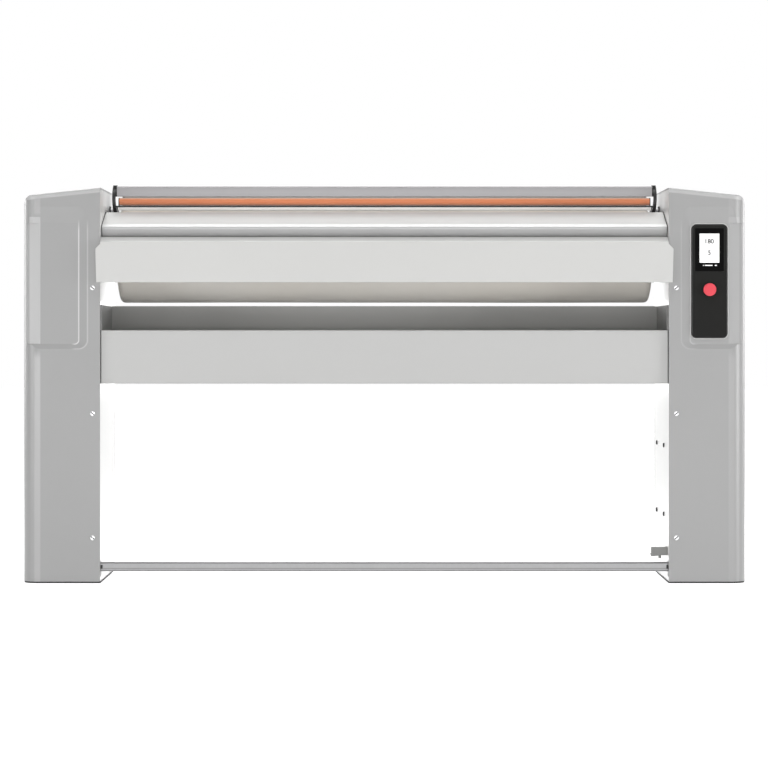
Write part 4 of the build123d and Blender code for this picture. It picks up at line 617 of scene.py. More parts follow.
@dataclass(frozen=True)
class CabinetEnamel(SheetPaint):
    """The cabinets' enamel, with painted highlights on the pressed lines of the recess, its outer
    bevel and its top edge.
    """

    # painted highlights: glints on the recess's pressed lines, bands on the outer bevel and its
    # fold, a band under the top edge
    outer_line: Point = (0.788, 0.616, 0.011)  # upright run, level run and the corner between
    inner_line: Point = (0.765, 0.604, 0.023)
    inner_weight: float = 0.42
    line_edge: Pair = (0.0006, 0.0024)  # where a line starts to fade and is gone
    line_depth: float = 0.006
    line_top: Pair = (0.908, 0.938)
    line_end: Pair = (0.797, 0.807)
    # where painted highlight bands lie on the outer bevel and on its fold above and below the
    # recess
    bevel_x: Pair = (0.887, 0.916)
    bevel_z: Pair = (0.617, 0.944)
    bevel_soft: float = 0.001
    fold_x: Pair = (0.887, 0.9025)
    fold_soft: float = 0.002
    fold_low: Pair = (0.580, 0.600)
    fold_high: Pair = (0.945, 0.955)
    fold_high_weight: float = 0.5
    fold_rise: Pair = (-0.2, 0.5)  # heights between which the fold gains shine
    fold_least: float = 0.3
    flank_weight: float = 0.46
    # share of the painted highlights on the right cabinet, less there as the light falls from the
    # left
    right_weight: float = 0.35
    # a painted highlight band runs under the sloping top edge
    top_z: float = 1.020
    top_fall: float = 0.105
    rim: float = 0.0125
    rim_soft: float = 0.0012
    rim_weight: float = 0.5
    front_depth: float = 0.014
    shine: float = 0.62
    # colour of the painted highlights
    polished: Colour = (0.93, 0.93, 0.93)

    def pressed_line_highlight(self, r: Recipe, inner: float, low: float, corner: float) -> Shade:
        """Painted highlight along the crest of a pressed step that runs up and turns outwards at
        its foot.

        Args:
            r: the material under construction.
            inner: distance of the upright run from the middle plane.
            low: height of the level run.
            corner: radius between them.

        Returns:
            1 on the line, 0 away from it and off the front face.
        """
        x, z = abs(r.axis("X")), r.axis("Z")
        across, up = (inner + corner) - x, (low + corner) - z
        a, b = across.largest(0.0), up.largest(0.0)
        outside = (a * a + b * b) ** 0.5
        inside = (across.largest(up) * -1.0).largest(0.0)
        line = 1.0 - abs(outside - inside - corner).band(*self.line_edge)
        front = (FRONT_Y + self.line_depth - r.axis("Y")).above(0.0)
        fade = (1.0 - z.band(*self.line_top)) * (1.0 - x.band(*self.line_end))
        return (line * front * fade).within()

    def tone(self, r: Recipe, plain: Shade) -> Shade:
        """Painted highlights: lighter on the recess's lines, its outer bevel and under the top
        edge.
        """
        side, z = r.axis("X"), r.axis("Z")
        x, left = abs(side), (side * -1.0).above(0.0)
        crest = self.pressed_line_highlight(r, *self.outer_line).largest(
            self.pressed_line_highlight(r, *self.inner_line) * self.inner_weight)
        # painted highlight bands on the outer bevel and its fold
        bevel = (x.window(*self.bevel_x, self.bevel_soft)
                 * z.window(*self.bevel_z, self.bevel_soft))
        ends = (1.0 - z.band(*self.fold_low)).largest(z.band(*self.fold_high)
                                                   * self.fold_high_weight)
        shine = z.band(*self.fold_rise) * (1.0 - self.fold_least) + self.fold_least
        fold = x.window(*self.fold_x, self.fold_soft) * ends * shine
        flanks = bevel.largest(fold) * self.flank_weight
        # weaker painted highlights on the right cabinet, as the light falls from the left
        sides = crest.largest(flanks) * (left * (1.0 - self.right_weight) + self.right_weight)
        # painted highlight along the rounded top edge
        below = (self.top_z + self.top_fall * WALL_X) - (z + x * self.top_fall)
        rim = (1.0 - below.step(self.rim, self.rim_soft)) * self.rim_weight
        front = (FRONT_Y + self.front_depth - r.axis("Y")).above(0.0)
        # rubbed: the mask of every painted highlight, on the front faces only
        rubbed = (sides.largest(rim) * front * self.shine).within()
        return r.mix(rubbed, plain, self.polished)


# ---------------------------------------------------------------- modelling by hand
class Bench:
    """Small moves of object and edit mode."""

    @staticmethod
    def take(*pieces: Object) -> None:
        """Leave edit mode and select only these pieces, the first of them active."""
        if bpy.context.object is not None and bpy.context.object.mode != "OBJECT":
            bpy.ops.object.mode_set(mode="OBJECT")
        bpy.ops.object.select_all(action="DESELECT")
        for piece in pieces:
            piece.select_set(True)
        if pieces:
            bpy.context.view_layer.objects.active = pieces[0]

    @staticmethod
    def begin(name: str) -> Object:
        """Name the new primitive and put its place into its mesh."""
        piece = bpy.context.object
        piece.name = piece.data.name = name
        bpy.ops.object.transform_apply(location=True, rotation=True, scale=True)
        return piece

    @staticmethod
    def edit(piece: Object, kind: str = "FACE") -> None:
        """Enter edit mode with every vertex, edge or face selected."""
        Bench.take(piece)
        bpy.ops.object.mode_set(mode="EDIT")
        bpy.ops.mesh.select_mode(type=kind)
        bpy.ops.mesh.select_all(action="SELECT")

    @staticmethod
    def done(piece: Object, smooth_deg: float = 32.0) -> Object:
        """Merge doubles, turn the faces outwards, shade smooth and leave edit mode."""
        Bench.edit(piece)
        bpy.ops.mesh.remove_doubles(threshold=1e-6)
        bpy.ops.mesh.normals_make_consistent(inside=False)
        Bench.take(piece)
        bpy.ops.object.shade_smooth_by_angle(angle=math.radians(smooth_deg))
        Bench.take()
        return piece

    @staticmethod
    def modify(piece: Object, kind: str, **settings: object) -> None:
        """Add a modifier and apply it."""
        Bench.take(piece)
        modifier = piece.modifiers.new(kind.title(), kind)
        for key, value in settings.items():
            setattr(modifier, key, value)
        bpy.ops.object.modifier_apply(modifier=modifier.name)

    @staticmethod
    def turn(piece: Object, degrees: float, axis: str, centre: Point) -> None:
        """Turn a piece about a line through a point."""
        Bench.edit(piece)
        bpy.ops.transform.rotate(value=math.radians(degrees), orient_axis=axis,
                                 center_override=centre)
        Bench.take()

    @staticmethod
    def nudge(piece: Object, move: Callable[[Vector], Vector]) -> None:
        """Move every vertex by a rule of its place."""
        for vertex in piece.data.vertices:
            vertex.co = vertex.co + move(vertex.co)

    @staticmethod
    def join(name: str, *pieces: Object) -> Object:
        """Join pieces into one."""
        Bench.take(*pieces)
        bpy.ops.object.join()
        pieces[0].name = pieces[0].data.name = name
        Bench.take()
        return pieces[0]

    @staticmethod
    def slab(name: str, low: Point, high: Point, bevel: float = 0.0) -> Object:
        """A block between two corners.

        Args:
            name: the piece's name.
            low: its lowest corner.
            high: its highest corner.
            bevel: radius of its edges, 0 for none.

        Returns:
            The block.
        """
        Bench.take()
        middle = [(a + b) / 2 for a, b in zip(low, high)]
        bpy.ops.mesh.primitive_cube_add(size=1.0, location=middle)
        bpy.context.object.scale = [b - a for a, b in zip(low, high)]
        piece = Bench.begin(name)
        if bevel:
            Bench.edit(piece)
            bpy.ops.mesh.bevel(offset=bevel, segments=3, affect="EDGES")
        return Bench.done(piece)

    @staticmethod
    def lathe(name: str, centre: Pair, rings: Iterable[Pair], sides: int,
              closed: bool = False) -> Object:
        """Turn a piece about an X line, by extruding a circle ring after ring.

        Args:
            name: the piece's name.
            centre: (y, z) of the line.
            rings: (x, radius) of each ring in order.
            sides: facets round the piece.
            closed: join the last ring to the first, otherwise both ends are capped.

        Returns:
            The turned piece.
        """
        (x, radius), *rest = rings
        Bench.take()
        bpy.ops.mesh.primitive_circle_add(vertices=sides, radius=radius, location=(x, *centre),
                                          rotation=(0.0, math.pi / 2, 0.0))
        piece = Bench.begin(name)
        Bench.edit(piece, "EDGE")
        extrude = bpy.ops.mesh.extrude_edges_move
        if not closed:
            extrude = bpy.ops.mesh.extrude_region_move
            bpy.ops.mesh.edge_face_add()
            bpy.ops.mesh.select_all(action="SELECT")
        for next_x, next_radius in rest:
            extrude()
            bpy.ops.transform.translate(value=(next_x - x, 0.0, 0.0))
            grow = next_radius / radius
            bpy.ops.transform.resize(value=(1.0, grow, grow),
                                     center_override=(next_x, *centre))
            x, radius = next_x, next_radius
        if closed:
            bpy.ops.mesh.select_all(action="DESELECT")
            bpy.ops.mesh.select_non_manifold()
            bpy.ops.mesh.bridge_edge_loops()
        return Bench.done(piece)

    @staticmethod
    def ribbon(name: str, x0: float, x1: float, path: Iterable[Pair],
               thickness: float) -> Object:
        """A strip across X, drawn out edge by edge along a path and thickened.

        Args:
            name: the piece's name.
            x0: its left edge.
            x1: its right edge.
            path: (y, z) points of its middle line.
            thickness: its thickness.

        Returns:
            The strip.
        """
        sliver, merge = 1e-5, 3e-5  # depth of the first plane, and what takes it up again
        points = list(path)
        y, z = points[0]
        Bench.take()
        bpy.ops.mesh.primitive_plane_add(size=1.0, location=((x0 + x1) / 2, y, z))
        bpy.context.object.scale = (x1 - x0, sliver, 1.0)
        piece = Bench.begin(name)
        Bench.edit(piece, "EDGE")
        bpy.ops.mesh.select_all(action="DESELECT")
        Bench.take(piece)
        for edge in piece.data.edges:
            edge.select = all(piece.data.vertices[i].co.y > y for i in edge.vertices)
        bpy.ops.object.mode_set(mode="EDIT")
        for (ya, za), (yb, zb) in zip(points, points[1:]):
            bpy.ops.mesh.extrude_edges_move()
            bpy.ops.transform.translate(value=(0.0, yb - ya, zb - za))
        bpy.ops.mesh.select_all(action="SELECT")
        bpy.ops.mesh.remove_doubles(threshold=merge)
        Bench.modify(piece, "SOLIDIFY", thickness=thickness, offset=0.0, use_even_offset=True)
        return Bench.done(piece)


class Body(Enum):
    """The bodies that pieces ride on."""

    FRAME = "frame"
    ROLLER = "roller"
    PEDAL = "pedal"
    GUARD = "finger_guard"
    BUTTON = "stop_button"


# ---------------------------------------------------------------- studio
@dataclass(frozen=True)
class Lamp:
    """One soft box, which the camera doesn't see."""

    name: str
    place: Point
    aim: Point  # the point that it faces
    size: Pair  # width and height
    power: float  # in watts

    def hang(self) -> None:
        """Add it to the scene."""
        data = bpy.data.lights.new(self.name, "AREA")
        data.shape = "RECTANGLE"
        data.size, data.size_y = self.size
        data.energy = self.power
        lamp = bpy.data.objects.new(self.name, data)
        lamp.location = self.place
        aim = Vector(self.aim) - Vector(self.place)
        lamp.rotation_euler = aim.to_track_quat("-Z", "Y").to_euler()
        lamp.visible_camera = False
        bpy.context.scene.collection.objects.link(lamp)


LAMPS = (
    Lamp("front", (0.0, -8.6, 1.7), (0.0, 0.0, 0.7), (9.0, 3.2), 14.0),
    Lamp("front_low", (0.0, -7.0, 0.45), (0.0, 0.0, 0.75), (6.0, 0.5), 56.0),
    Lamp("front_floor", (0.0, -3.2, 0.12), (0.0, 0.0, 0.8), (5.0, 0.3), 14.0),
    Lamp("front_left", (-3.4, -5.6, 1.1), (0.0, 0.0, 0.6), (0.5, 2.2), 12.0),
    Lamp("left", (-4.9, -3.2, 0.6), (0.0, 0.0, 0.7), (1.8, 1.0), 58.0),
    Lamp("right", (5.2, -2.4, 0.6), (0.0, 0.0, 0.7), (1.8, 1.0), 96.0),
    Lamp("back_left", (-4.4, 2.6, 1.5), (0.5, 0.0, 0.6), (1.6, 2.0), 60.0),
    Lamp("back_right", (4.4, 2.6, 1.5), (-0.5, 0.0, 0.6), (1.6, 2.0), 60.0),
    Lamp("rear_fill", (0.0, 1.15, 0.72), (0.0, 0.0, 0.72), (1.3, 0.5), 5.0),
    Lamp("top", (0.0, -1.7, 4.2), (0.0, 0.0, 0.9), (4.2, 0.8), 48.0),
    Lamp("back", (0.0, 2.4, 3.6), (0.0, 0.1, 0.95), (3.6, 1.2), 54.0),
)


@dataclass(frozen=True)
class Studio:
    """Plain pale floor, soft light and the camera at the photograph's angle."""

    distance: float = 7.904
    eye_height: float = 0.637
    lens: float = 143.8
    sensor: float = 36.0
    shift: Pair = (-0.0006, -0.0625)
    reach: float = 200.0
    world_level: float = 0.2
    floor_size: float = 60.0
    floor_z: float = -0.0005
    floor_colour: Colour = (0.88, 0.88, 0.88)
    floor_glow: float = 0.84

    def camera(self) -> None:
        """Stand the camera in front of the machine."""
        data = bpy.data.cameras.new("camera")
        data.lens, data.sensor_width = self.lens, self.sensor
        data.shift_x, data.shift_y = self.shift
        data.clip_end = self.reach
        eye = bpy.data.objects.new("camera", data)
        eye.location = (0.0, FRONT_Y - self.distance, self.eye_height)
        eye.rotation_euler = (math.pi / 2, 0.0, 0.0)
        bpy.context.scene.collection.objects.link(eye)
        bpy.context.scene.camera = eye

    def world(self) -> None:
        """Even surrounding light, seen as white by the camera and in gloss."""
        world = bpy.data.worlds.new("studio")
        world.use_nodes = True
        nodes = Nodes(world.node_tree)
        light = world.node_tree.nodes["Background"]
        nodes.feed(light.inputs["Color"], WHITE)
        nodes.feed(light.inputs["Strength"], self.world_level)
        seen = nodes.node("Background", values={"Color": WHITE, "Strength": 1.0})
        mask = nodes.seen_by("Camera", "Glossy", "Transmission")
        nodes.surface("World Output", mask, Shade(nodes.tree, light.outputs[0]), seen)
        bpy.context.scene.world = world

    def floor(self) -> None:
        """Lay the pale floor."""
        Bench.take()
        bpy.ops.mesh.primitive_plane_add(size=self.floor_size,
                                         location=(0.0, 0.0, self.floor_z))
        floor = Bench.begin("floor")
        r = Recipe("studio_floor")
        r.set(base_color=r.tint(self.floor_colour, r.noise(Waves.FLOOR), 0.01), roughness=0.9,
              specular_ior_level=0.0)
        matt = Shade(r.tree, r.shader.outputs[0])
        glow = r.node("Emission", values={"Color": WHITE, "Strength": self.floor_glow})
        both = r.node("AddShader", values={0: matt, 1: glow})
        r.surface("Material Output", r.seen_by("Camera", "Glossy"), matt, both)
        floor.data.materials.append(r.material)

    def build(self) -> None:
        """Set up everything that isn't the machine."""
        self.camera()
        self.world()
        self.floor()
        for lamp in LAMPS:
            lamp.hang()
        bpy.context.scene.view_settings.view_transform = "Standard"
        LOG.info("studio stands")


# ---------------------------------------------------------------- the machine's finishes
NOSE: Colour = (0.315, 0.315, 0.315)
BAR: Colour = (0.245, 0.245, 0.248)
ORANGE: Colour = linear(226, 132, 82)

FINISHES: tuple[Finish, ...] = (
    CabinetEnamel("cabinet_paint", linear(168, 168, 168), roughness=0.34, depth=0.0002, rubbed=0.5),
    SheetPaint("wall_paint", linear(236, 236, 235), roughness=0.4, rubbed=0.2, coat=0.6),
    SheetPaint("light_paint", linear(216, 216, 214), roughness=0.36, rubbed=0.35),
    SheetPaint("dark_paint", linear(182, 182, 180), roughness=0.5, rubbed=0.3),
    SheetPaint("black_paint", linear(28, 28, 29), roughness=0.34, rubbed=0.1),
    SheetPaint("orange_tube", ORANGE, roughness=0.3, rubbed=0.1, coat=0.3),
    Metal("steel", (0.46, 0.46, 0.47), 0.4),
    ZincPlate("zinc", (0.66, 0.66, 0.67)),
    Metal("guard_aluminium", (0.27, 0.265, 0.27), 0.42, mottling=0.03),
    Metal("chest_aluminium", (0.78, 0.78, 0.79), 0.22, grain=(900.0, 6.0, 6.0)),
    Casting("cast_iron", (0.16, 0.17, 0.18)),
    RollerFabric("cloth", linear(248, 244, 237)),
    Rubber("rubber", (0.03, 0.03, 0.03)),
    Rubber("belt_rubber", (0.02, 0.02, 0.02)),
    Moulding("fascia_plastic", linear(30, 30, 29), 0.55, gloss=0.12),
    Moulding("black_plastic", (0.015, 0.015, 0.015), 0.5),
    Glass("glass_black", (0.003, 0.003, 0.003)),
    LitScreen("screen", (0.86, 0.86, 0.86)),
    Moulding("button_red", linear(241, 84, 96), depth=0.00004),
    Wool("insulation", (0.72, 0.68, 0.58)),
    # near-white, worn by the painted light strip under the guard rail
    Wool("felt", (0.97, 0.96, 0.94), mottling=0.02),
    # painted shade: a darker grey for the shaded ends of the trough
    SheetPaint("cheek_painted_shade", linear(138, 138, 137), roughness=0.5, rubbed=0.2),
    Metal("nose_strip", NOSE, 0.34, mottling=0.03, bands=(
        Band(scaled(NOSE, 1.55), (0.9165, 0.9205)),)),  # painted highlight, lighter above its turn
    Moulding("rim_black", (0.004, 0.004, 0.004), 0.25, depth=0.00003, gloss=0.3),
)

SPECIAL: dict[str, Finish] = {  # by CAD node
    # painted shade: a darker copy of light_paint, as the table's top gets more light than the
    # apron's front
    "feed_table": SheetPaint("feed_table_paint", linear(198, 198, 196), roughness=0.34,
                             rubbed=0.35),
    "trough_front_panel": SheetPaint("trough_front_paint", linear(200, 200, 199), roughness=0.38,
                                     rubbed=0.3),
    "pedal_bar": ZincPlate("pedal_bar_plate", BAR, 0.36, bands=(
        Band(scaled(BAR, 0.7), (0.0006, 0.0022), height=0.0370, near=True),  # painted shade, a darker band low on its face
        Band(scaled(BAR, 0.55), (0.0088, 0.0104), height=0.0412))),  # painted shade along its top and bottom edges
    "pedal_stop_bracket": SheetPaint("stop_bracket_paint", linear(146, 146, 144), rubbed=0.3),
    "guard_tube": SheetPaint(
        "guard_tube_paint", ORANGE, roughness=0.3, rubbed=0.1, coat=0.3, bands=(
            Band((0.95, 0.74, 0.56), (0.9983, 1.0003), 0.7),  # painted highlight along its top
            Band((0.80, 0.52, 0.42), (0.9848, 0.9888), 0.4, near=True))),  # painted light, paler underneath for light from below
}


@dataclass(frozen=True)
class Fitter:
    """Gives finished pieces their finish, their body and what they stand for."""

    finishes: dict[str, bpy.types.Material]

    def settle(self, piece: Object, body: Body, slot: str, finish: str = "",
               stands_for: Iterable[str] = ()) -> None:
        """Dress one piece and put it on its body.

        Args:
            piece: the finished piece.
            body: the body that it rides on.
            slot: the record's slot of its finish.
            finish: the finish itself, where it isn't the slot's own.
            stands_for: CAD nodes that it replaces.
        """
        piece.data.materials.clear()
        piece.data.materials.append(self.finishes[finish or slot])
        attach(piece, body.value)
        names = list(stands_for)
        if names:
            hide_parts(*names)
        LOG.info("%s rides on %s in %s", piece.name, body.value, slot)

    def dress_nodes(self, frame: dict) -> None:
        """Give every CAD node the finish that the record names, or its own shade of it."""
        slots = {part["node"]: part["material_slot"] for part in frame["record"]["subparts"]}
        for name, piece in frame["nodes"].items():
            special = SPECIAL.get(name)
            piece.data.materials.clear()
            piece.data.materials.append(special.material() if special
                                        else self.finishes[slots[name]])
        LOG.info("%d nodes dressed", len(slots))


# ---------------------------------------------------------------- pieces
class Piece:
    """Something that the scene adds to the machine."""

    def build(self, fitter: Fitter) -> None:
        """Model it and settle it."""
        raise NotImplementedError


@dataclass(frozen=True)
class RollerCloth(Piece):
    """Padded cloth on the roller, drawn in over both ends by its cord."""

    axis: Pair = (0.027, 0.850)
    radius: float = 0.125
    tube_half: float = 0.6901
    tube_radius: float = 0.1127
    mouth: float = 0.070
    end_rings: tuple[Pair, ...] = (  # from the tube's end round the mouth to the outer face
        (tube_half, tube_radius), (tube_half, 0.092), (tube_half, mouth),
        (0.698, 0.0698), (0.702, 0.075), (0.7015, 0.088), (0.7005, 0.104))
    rim_x: float = 0.697  # where the rounded rim runs into the cylinder
    rim: float = 0.011
    rim_lean: float = 0.002
    rim_steps: int = 5
    loops: int = 48
    loops_share: float = 0.975  # of the length that has loops of its own
    sides: int = 128
    gathers: int = 22
    gather_depth: float = 0.0016
    gather_fall: float = 0.7  # how fast gathers fade outwards from the mouth
    gather_drift: float = 1.7
    gather_gap: Pair = (0.0001, 0.0005)
    pad: float = 0.004  # least padding over the tube where waves show
    wave_depth: float = 0.0004
    wave_turns: float = 9.0
    wave_start: float = 1.3

    def outline(self) -> list[Pair]:
        """(x, radius) rings from the middle of the right end's inside round to the left's."""
        end = list(self.end_rings)
        for i in range(self.rim_steps + 1):
            share = i / self.rim_steps
            angle = math.pi / 2 * share
            end.append((self.rim_x - self.rim * (1 - math.cos(angle)) + self.rim_lean * (1 - share),
                        self.radius - self.rim * (1 - math.sin(angle))))
        shares = (1 - 2 * i / self.loops for i in range(1, self.loops))
        run = [(self.rim_x * share, self.radius) for share in shares
               if abs(share) < self.loops_share]
        return end + run + [(-x, r) for x, r in reversed(end)]

    def soften(self, place: Vector) -> Vector:
        """Gathers on the ends and slow waves in the padding."""
        y, z = place.y - self.axis[0], place.z - self.axis[1]
        radius, angle = math.hypot(y, z), math.atan2(z, y)
        under, beside = self.gather_gap
        if radius < self.tube_radius - under and abs(place.x) > self.tube_half + beside:
            out = (radius - self.mouth) / (self.tube_radius - self.mouth)
            depth = self.gather_depth * (1 - out) ** self.gather_fall
            fold = math.sin(self.gathers * angle + self.gather_drift * math.sin(3 * angle))
            return Vector((math.copysign(depth * (fold - 1.0), place.x), 0.0, 0.0))
        if radius > self.tube_radius + self.pad:
            wave = (math.sin(self.wave_turns * place.x + self.wave_start)
                    * math.sin(2 * angle + 4 * place.x))
            sag = self.wave_depth * (wave - 1.0)
            return Vector((0.0, sag * y / radius, sag * z / radius))
        return Vector((0.0, 0.0, 0.0))

    def map_cloth(self, piece: Object) -> None:
        """Lay the cloth's own map: along the roller and round it, in metres."""
        layer = piece.data.uv_layers.new(name="cloth")
        for face in piece.data.polygons:
            middle = math.atan2(face.center.z - self.axis[1], face.center.y - self.axis[0])
            for loop in face.loop_indices:
                co = piece.data.vertices[piece.data.loops[loop].vertex_index].co
                y, z = co.y - self.axis[0], co.z - self.axis[1]
                angle = math.atan2(z, y)
                angle += 2 * math.pi * round((middle - angle) / (2 * math.pi))
                radial = self.radius - math.hypot(y, z)
                layer.data[loop].uv = (co.x + math.copysign(radial, co.x), angle * self.radius)

    def build(self, fitter: Fitter) -> None:
        """Model the padded cloth and dress it."""
        piece = Bench.lathe("roller_cloth", self.axis, self.outline(), self.sides, closed=True)
        Bench.nudge(piece, self.soften)
        self.map_cloth(piece)
        Bench.done(piece, 50.0)
        fitter.settle(piece, Body.ROLLER, "cloth", stands_for=("roller_padding",))


@dataclass(frozen=True)
class DisplayPage(Piece):
    """Generic figures on the lit screen, temperature above and speed below, and the keys."""

    middle_x: float = 0.8375
    face_depth: float = 0.00085
    height: float = 0.0165
    swell: Pair = (0.0001, 0.00035)  # thickness of the figures and their growth
    figures: tuple[tuple[str, float, float], ...] = (("180", -0.001, 0.8805), ("5", 0.0, 0.8512))
    rule: tuple[float, float, float, float] = (-0.004, 0.8635, 0.014, 0.0011)
    key_z: float = 0.8190
    key_height: float = 0.0024
    keys: tuple[Pair, ...] = ((-0.0155, 0.002), (-0.002, 0.020), (0.0165, 0.005))

    def figure(self, text: str, x: float, z: float) -> Object:
        """Stand one line of figures on the screen."""
        Bench.take()
        bpy.ops.object.text_add(location=(self.middle_x + x, FRONT_Y + self.face_depth, z),
                                rotation=(math.pi / 2, 0.0, 0.0))
        words = bpy.context.object
        words.data.body = text
        words.data.size = self.height
        words.data.align_x, words.data.align_y = "CENTER", "CENTER"
        words.data.extrude, words.data.offset = self.swell
        bpy.ops.object.convert(target="MESH")
        return Bench.begin("figures")

    def bar(self, x: float, z: float, width: float, height: float) -> Object:
        """Stand one flat bar on the glass."""
        x, y = self.middle_x + x, FRONT_Y + self.face_depth
        return Bench.slab("bar", (x - width / 2, y, z - height / 2),
                          (x + width / 2, y + self.swell[0], z + height / 2))

    def build(self, fitter: Fitter) -> None:
        """Set the page and the keys under it."""
        lines = [self.figure(*line) for line in self.figures] + [self.bar(*self.rule)]
        fitter.settle(Bench.join("display_figures", *lines), Body.FRAME, "fascia_plastic")
        keys = [self.bar(x, self.key_z, width, self.key_height) for x, width in self.keys]
        fitter.settle(Bench.join("display_keys", *keys), Body.FRAME, "screen")


def rounded(points: list[Pair], radius: float, steps: int) -> list[Pair]:
    """Round the inner corners of a path.

    Args:
        points: the path's corners.
        radius: radius of the corners.
        steps: segments of each corner.

    Returns:
        The path with an arc at every inner corner.
    """
    path = [points[0]]
    for before, corner, after in zip(points, points[1:], points[2:]):
        a, b = ((Vector(other) - Vector(corner)).normalized() for other in (before, after))
        half = math.acos(max(-1.0, min(1.0, a.dot(b)))) / 2
        middle = Vector(corner) + (a + b).normalized() * (radius / math.sin(half))
        start, end = (Vector(corner) + side * (radius / math.tan(half)) - middle
                      for side in (a, b))
        for step in range(steps + 1):
            path.append(tuple(middle + start.slerp(end, step / steps) * radius))
    return path + [points[-1]]


@dataclass(frozen=True)
class TableTrim(Piece):
    """Metal nose strip of the feed table, and black strips of painted shade in the gaps at the ends
    of table and trough.
    """

    back: Pair = (0.155, 0.963)
    nose: Pair = (0.033, 0.921)
    lip: Pair = (0.041, 0.894)
    nose_radius: float = 0.0075
    nose_steps: int = 8
    half: float = 0.731
    wall_gap: float = 0.0001
    rise: float = 0.7  # how far a path moved outwards also moves up
    strip_run: float = 0.012
    strip: Pair = (0.00035, 0.0004)  # how far out it lies and its thickness
    # how far out the black strips of painted gap shade lie, and their thickness
    gap_shade: Pair = (0.0004, 0.0014)
    trough_depth: float = 0.012
    trough_z: Pair = (0.514, 0.652)

    def section(self, start: Pair, out: float) -> list[Pair]:
        """(y, z) path over the nose and down the lip, moved outwards."""
        path = rounded([start, self.nose, self.lip], self.nose_radius, self.nose_steps)
        return [(y + FRONT_Y - out, z + out * self.rise) for y, z in path]

    def build(self, fitter: Fitter) -> None:
        """Build the strip and the black strips of painted gap shade."""
        run = (Vector(self.back) - Vector(self.nose)).normalized() * self.strip_run
        out, thickness = self.strip
        strip = Bench.ribbon("table_nose_strip", -self.half, self.half,
                             self.section(tuple(Vector(self.nose) + run), out), thickness)
        fitter.settle(strip, Body.FRAME, "guard_aluminium", "nose_strip")
        # painted shade: black strips fill the gaps between the table and trough ends and the walls
        out, thickness = self.gap_shade
        front = [(FRONT_Y + self.trough_depth - out, z) for z in self.trough_z]
        gap_shade_strips = []
        for side in (-1, 1):
            x0, x1 = sorted((side * self.half, side * (WALL_X - self.wall_gap)))
            for path in (self.section(self.back, out), front):
                gap_shade_strips.append(Bench.ribbon("gap_shade", x0, x1, path, thickness))
        fitter.settle(Bench.join("end_gap_shades", *gap_shade_strips), Body.FRAME, "rubber")


@dataclass(frozen=True)
class PanelFrame(Piece):
    """A rounded frame round the control fascia."""

    name: str
    grow: float  # how far its outer edge lies outside the fascia
    width: float
    thickness: float
    depth: float  # of its back
    slot: str
    finish: str = ""
    middle: Pair = (0.8375, 0.77825)
    size: Pair = (0.093, 0.2935)  # of the fascia
    corner: float = 0.013
    bevel_share: float = 0.35  # of the thickness
    bevel_angle: float = 50.0

    def build(self, fitter: Fitter) -> None:
        """Cut it out of a rounded plate, thicken it and round its edges."""
        (x, z), (width, height) = self.middle, self.size
        Bench.take()
        bpy.ops.mesh.primitive_plane_add(size=1.0, rotation=(math.pi / 2, 0.0, 0.0), location=(
            x, FRONT_Y + self.depth - self.thickness, z))
        bpy.context.object.scale = (width + 2 * self.grow, height + 2 * self.grow, 1.0)
        piece = Bench.begin(self.name)
        Bench.edit(piece, "VERT")
        bpy.ops.mesh.bevel(offset=self.corner + self.grow, segments=8, affect="VERTICES")
        bpy.ops.mesh.select_all(action="SELECT")
        bpy.ops.mesh.inset(thickness=self.width)
        bpy.ops.mesh.delete(type="FACE")
        Bench.modify(piece, "SOLIDIFY", thickness=self.thickness, offset=-1.0,
                     use_even_offset=True)
        Bench.modify(piece, "BEVEL", width=self.thickness * self.bevel_share, segments=3,
                     limit_method="ANGLE", angle_limit=math.radians(self.bevel_angle))
        fitter.settle(Bench.done(piece, 40.0), Body.FRAME, self.slot, self.finish)


@dataclass(frozen=True)
class ScrewSlots(Piece):
    """Painted shade: dark bars in the slots of the cover screws, for the shadow in them."""

    x: float = 0.752
    heights: tuple[float, ...] = (0.117, 0.437, 0.761)
    out: float = 0.0018  # how far its middle stands out of the panel
    size: Point = (0.0112, 0.001, 0.0028)
    turn: float = 40.0

    def build(self, fitter: Fitter) -> None:
        """Set a dark bar of painted shade in each slot, turned as the slot is."""
        bars = []
        for side, y, z in product((-1, 1), (FRONT_Y - self.out, BACK_Y + self.out), self.heights):
            place = (side * self.x, y, z)
            low, high = (tuple(c + way * size / 2 for c, size in zip(place, self.size))
                         for way in (-1, 1))
            bars.append(Bench.slab("slot", low, high))
            Bench.turn(bars[-1], side * self.turn, "Y", place)
        fitter.settle(Bench.join("cover_screw_slot_shade", *bars), Body.FRAME, "black_plastic")


@dataclass(frozen=True)
class Block(Piece):
    """A plain block, or a pair of them, one at each side."""

    name: str
    low: Point
    high: Point
    bevel: float
    body: Body
    slot: str
    finish: str = ""
    paired: bool = True

    def build(self, fitter: Fitter) -> None:
        """Model it and settle it."""
        piece = Bench.slab(self.name, self.low, self.high, self.bevel)
        if self.paired:
            (x0, *low), (x1, *high) = self.low, self.high
            other = Bench.slab(self.name, (-x1, *low), (-x0, *high), self.bevel)
            piece = Bench.join(self.name, piece, other)
        fitter.settle(piece, self.body, self.slot, self.finish)


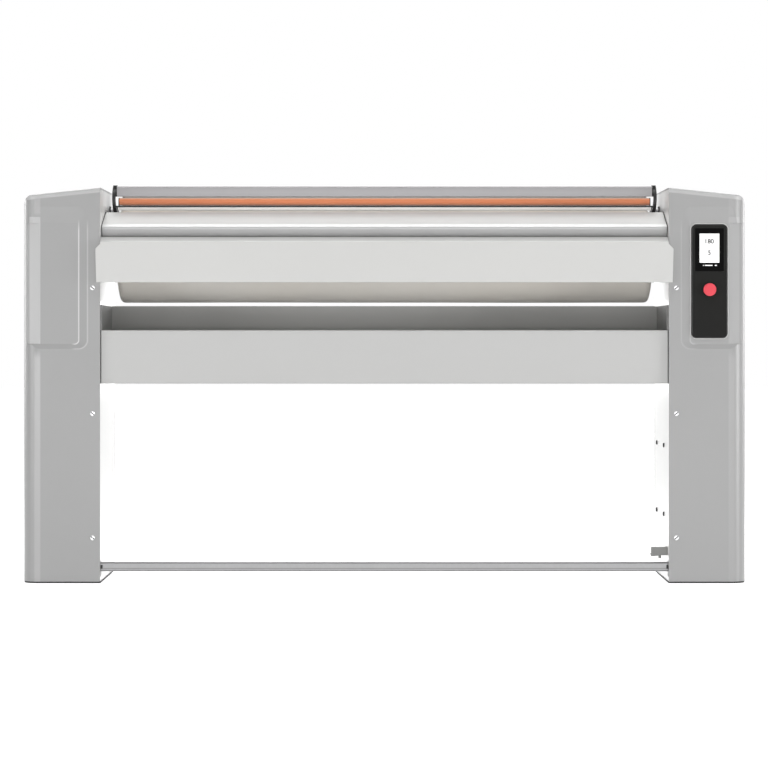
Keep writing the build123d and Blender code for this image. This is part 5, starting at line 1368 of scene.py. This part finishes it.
@dataclass(frozen=True)
class ButtonCrown(Piece):
    """Domed face of the stop button."""

    place: Pair = (0.8375, 0.7565)
    out: float = 0.0113
    rings: tuple[Pair, ...] = ((0.0, 0.0164), (0.0006, 0.0163), (0.0011, 0.0157),
                               (0.0014, 0.0146), (0.0016, 0.008), (0.00165, 0.002))
    sides: int = 64

    def build(self, fitter: Fitter) -> None:
        """Turn the dome, face it to the front and set it on the button."""
        centre = (0.0, 0.0)
        crown = Bench.lathe("stop_button_crown", centre, self.rings, self.sides)
        Bench.turn(crown, 90.0, "Z", (0.0, *centre))
        x, z = self.place
        Bench.nudge(crown, lambda place: Vector((x, FRONT_Y - self.out, z)))
        fitter.settle(crown, Body.BUTTON, "button_red")


PIECES: tuple[Piece, ...] = (
    RollerCloth(),
    DisplayPage(),
    TableTrim(),
    PanelFrame("fascia_rim", 0.0, 0.0032, 0.0011, 0.001, "glass_black", "rim_black"),
    # painted highlight: a light frame round the fascia, for the bright rim of the recess round it
    PanelFrame("fascia_highlight_frame", 0.0026, 0.0023, 0.0014, 0.004, "light_paint"),
    ScrewSlots(),
    Block("foot_bar_stops", (0.7272, FRONT_Y + 0.0108, 0.0367), (0.7326, FRONT_Y + 0.0116, 0.0467),
          0.0003, Body.PEDAL, "rubber"),
    # painted shade: darker sheets over the trough's ends, where shade falls
    Block("trough_shade_cheeks", (0.7296, FRONT_Y + 0.0155, 0.5215), (0.7324, 0.1020, 0.7168),
          0.0, Body.FRAME, "dark_paint", "cheek_painted_shade"),
    Block("wall_skirtings", (0.7314, FRONT_Y + 0.0006, 0.0006), (0.7328, 0.1200, 0.0050),
          0.0003, Body.FRAME, "rubber"),
    # painted light: a near-white strip under the guard rail, where the lit top of the roller shows
    Block("guard_light_strip", (-0.704, FRONT_Y + 0.1960, 0.9684), (0.704, FRONT_Y + 0.1977, 0.9768),
          0.0004, Body.GUARD, "cloth", "felt", paired=False),
    Block("guard_bar_caps", (0.7078, FRONT_Y + 0.2091, 1.0056), (0.7150, FRONT_Y + 0.2098, 1.0334),
          0.0003, Body.GUARD, "black_plastic"),
    ButtonCrown(),
)


def main() -> None:
    """Build the studio, the finishes and the pieces, in order."""
    logging.basicConfig(level=logging.INFO, format="%(name)s: %(message)s")
    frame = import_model()
    Studio().build()
    fitter = Fitter({finish.slot: finish.material() for finish in FINISHES})
    fitter.dress_nodes(frame)
    for piece in PIECES:
        piece.build(fitter)


if __name__ == "__main__":
    main()
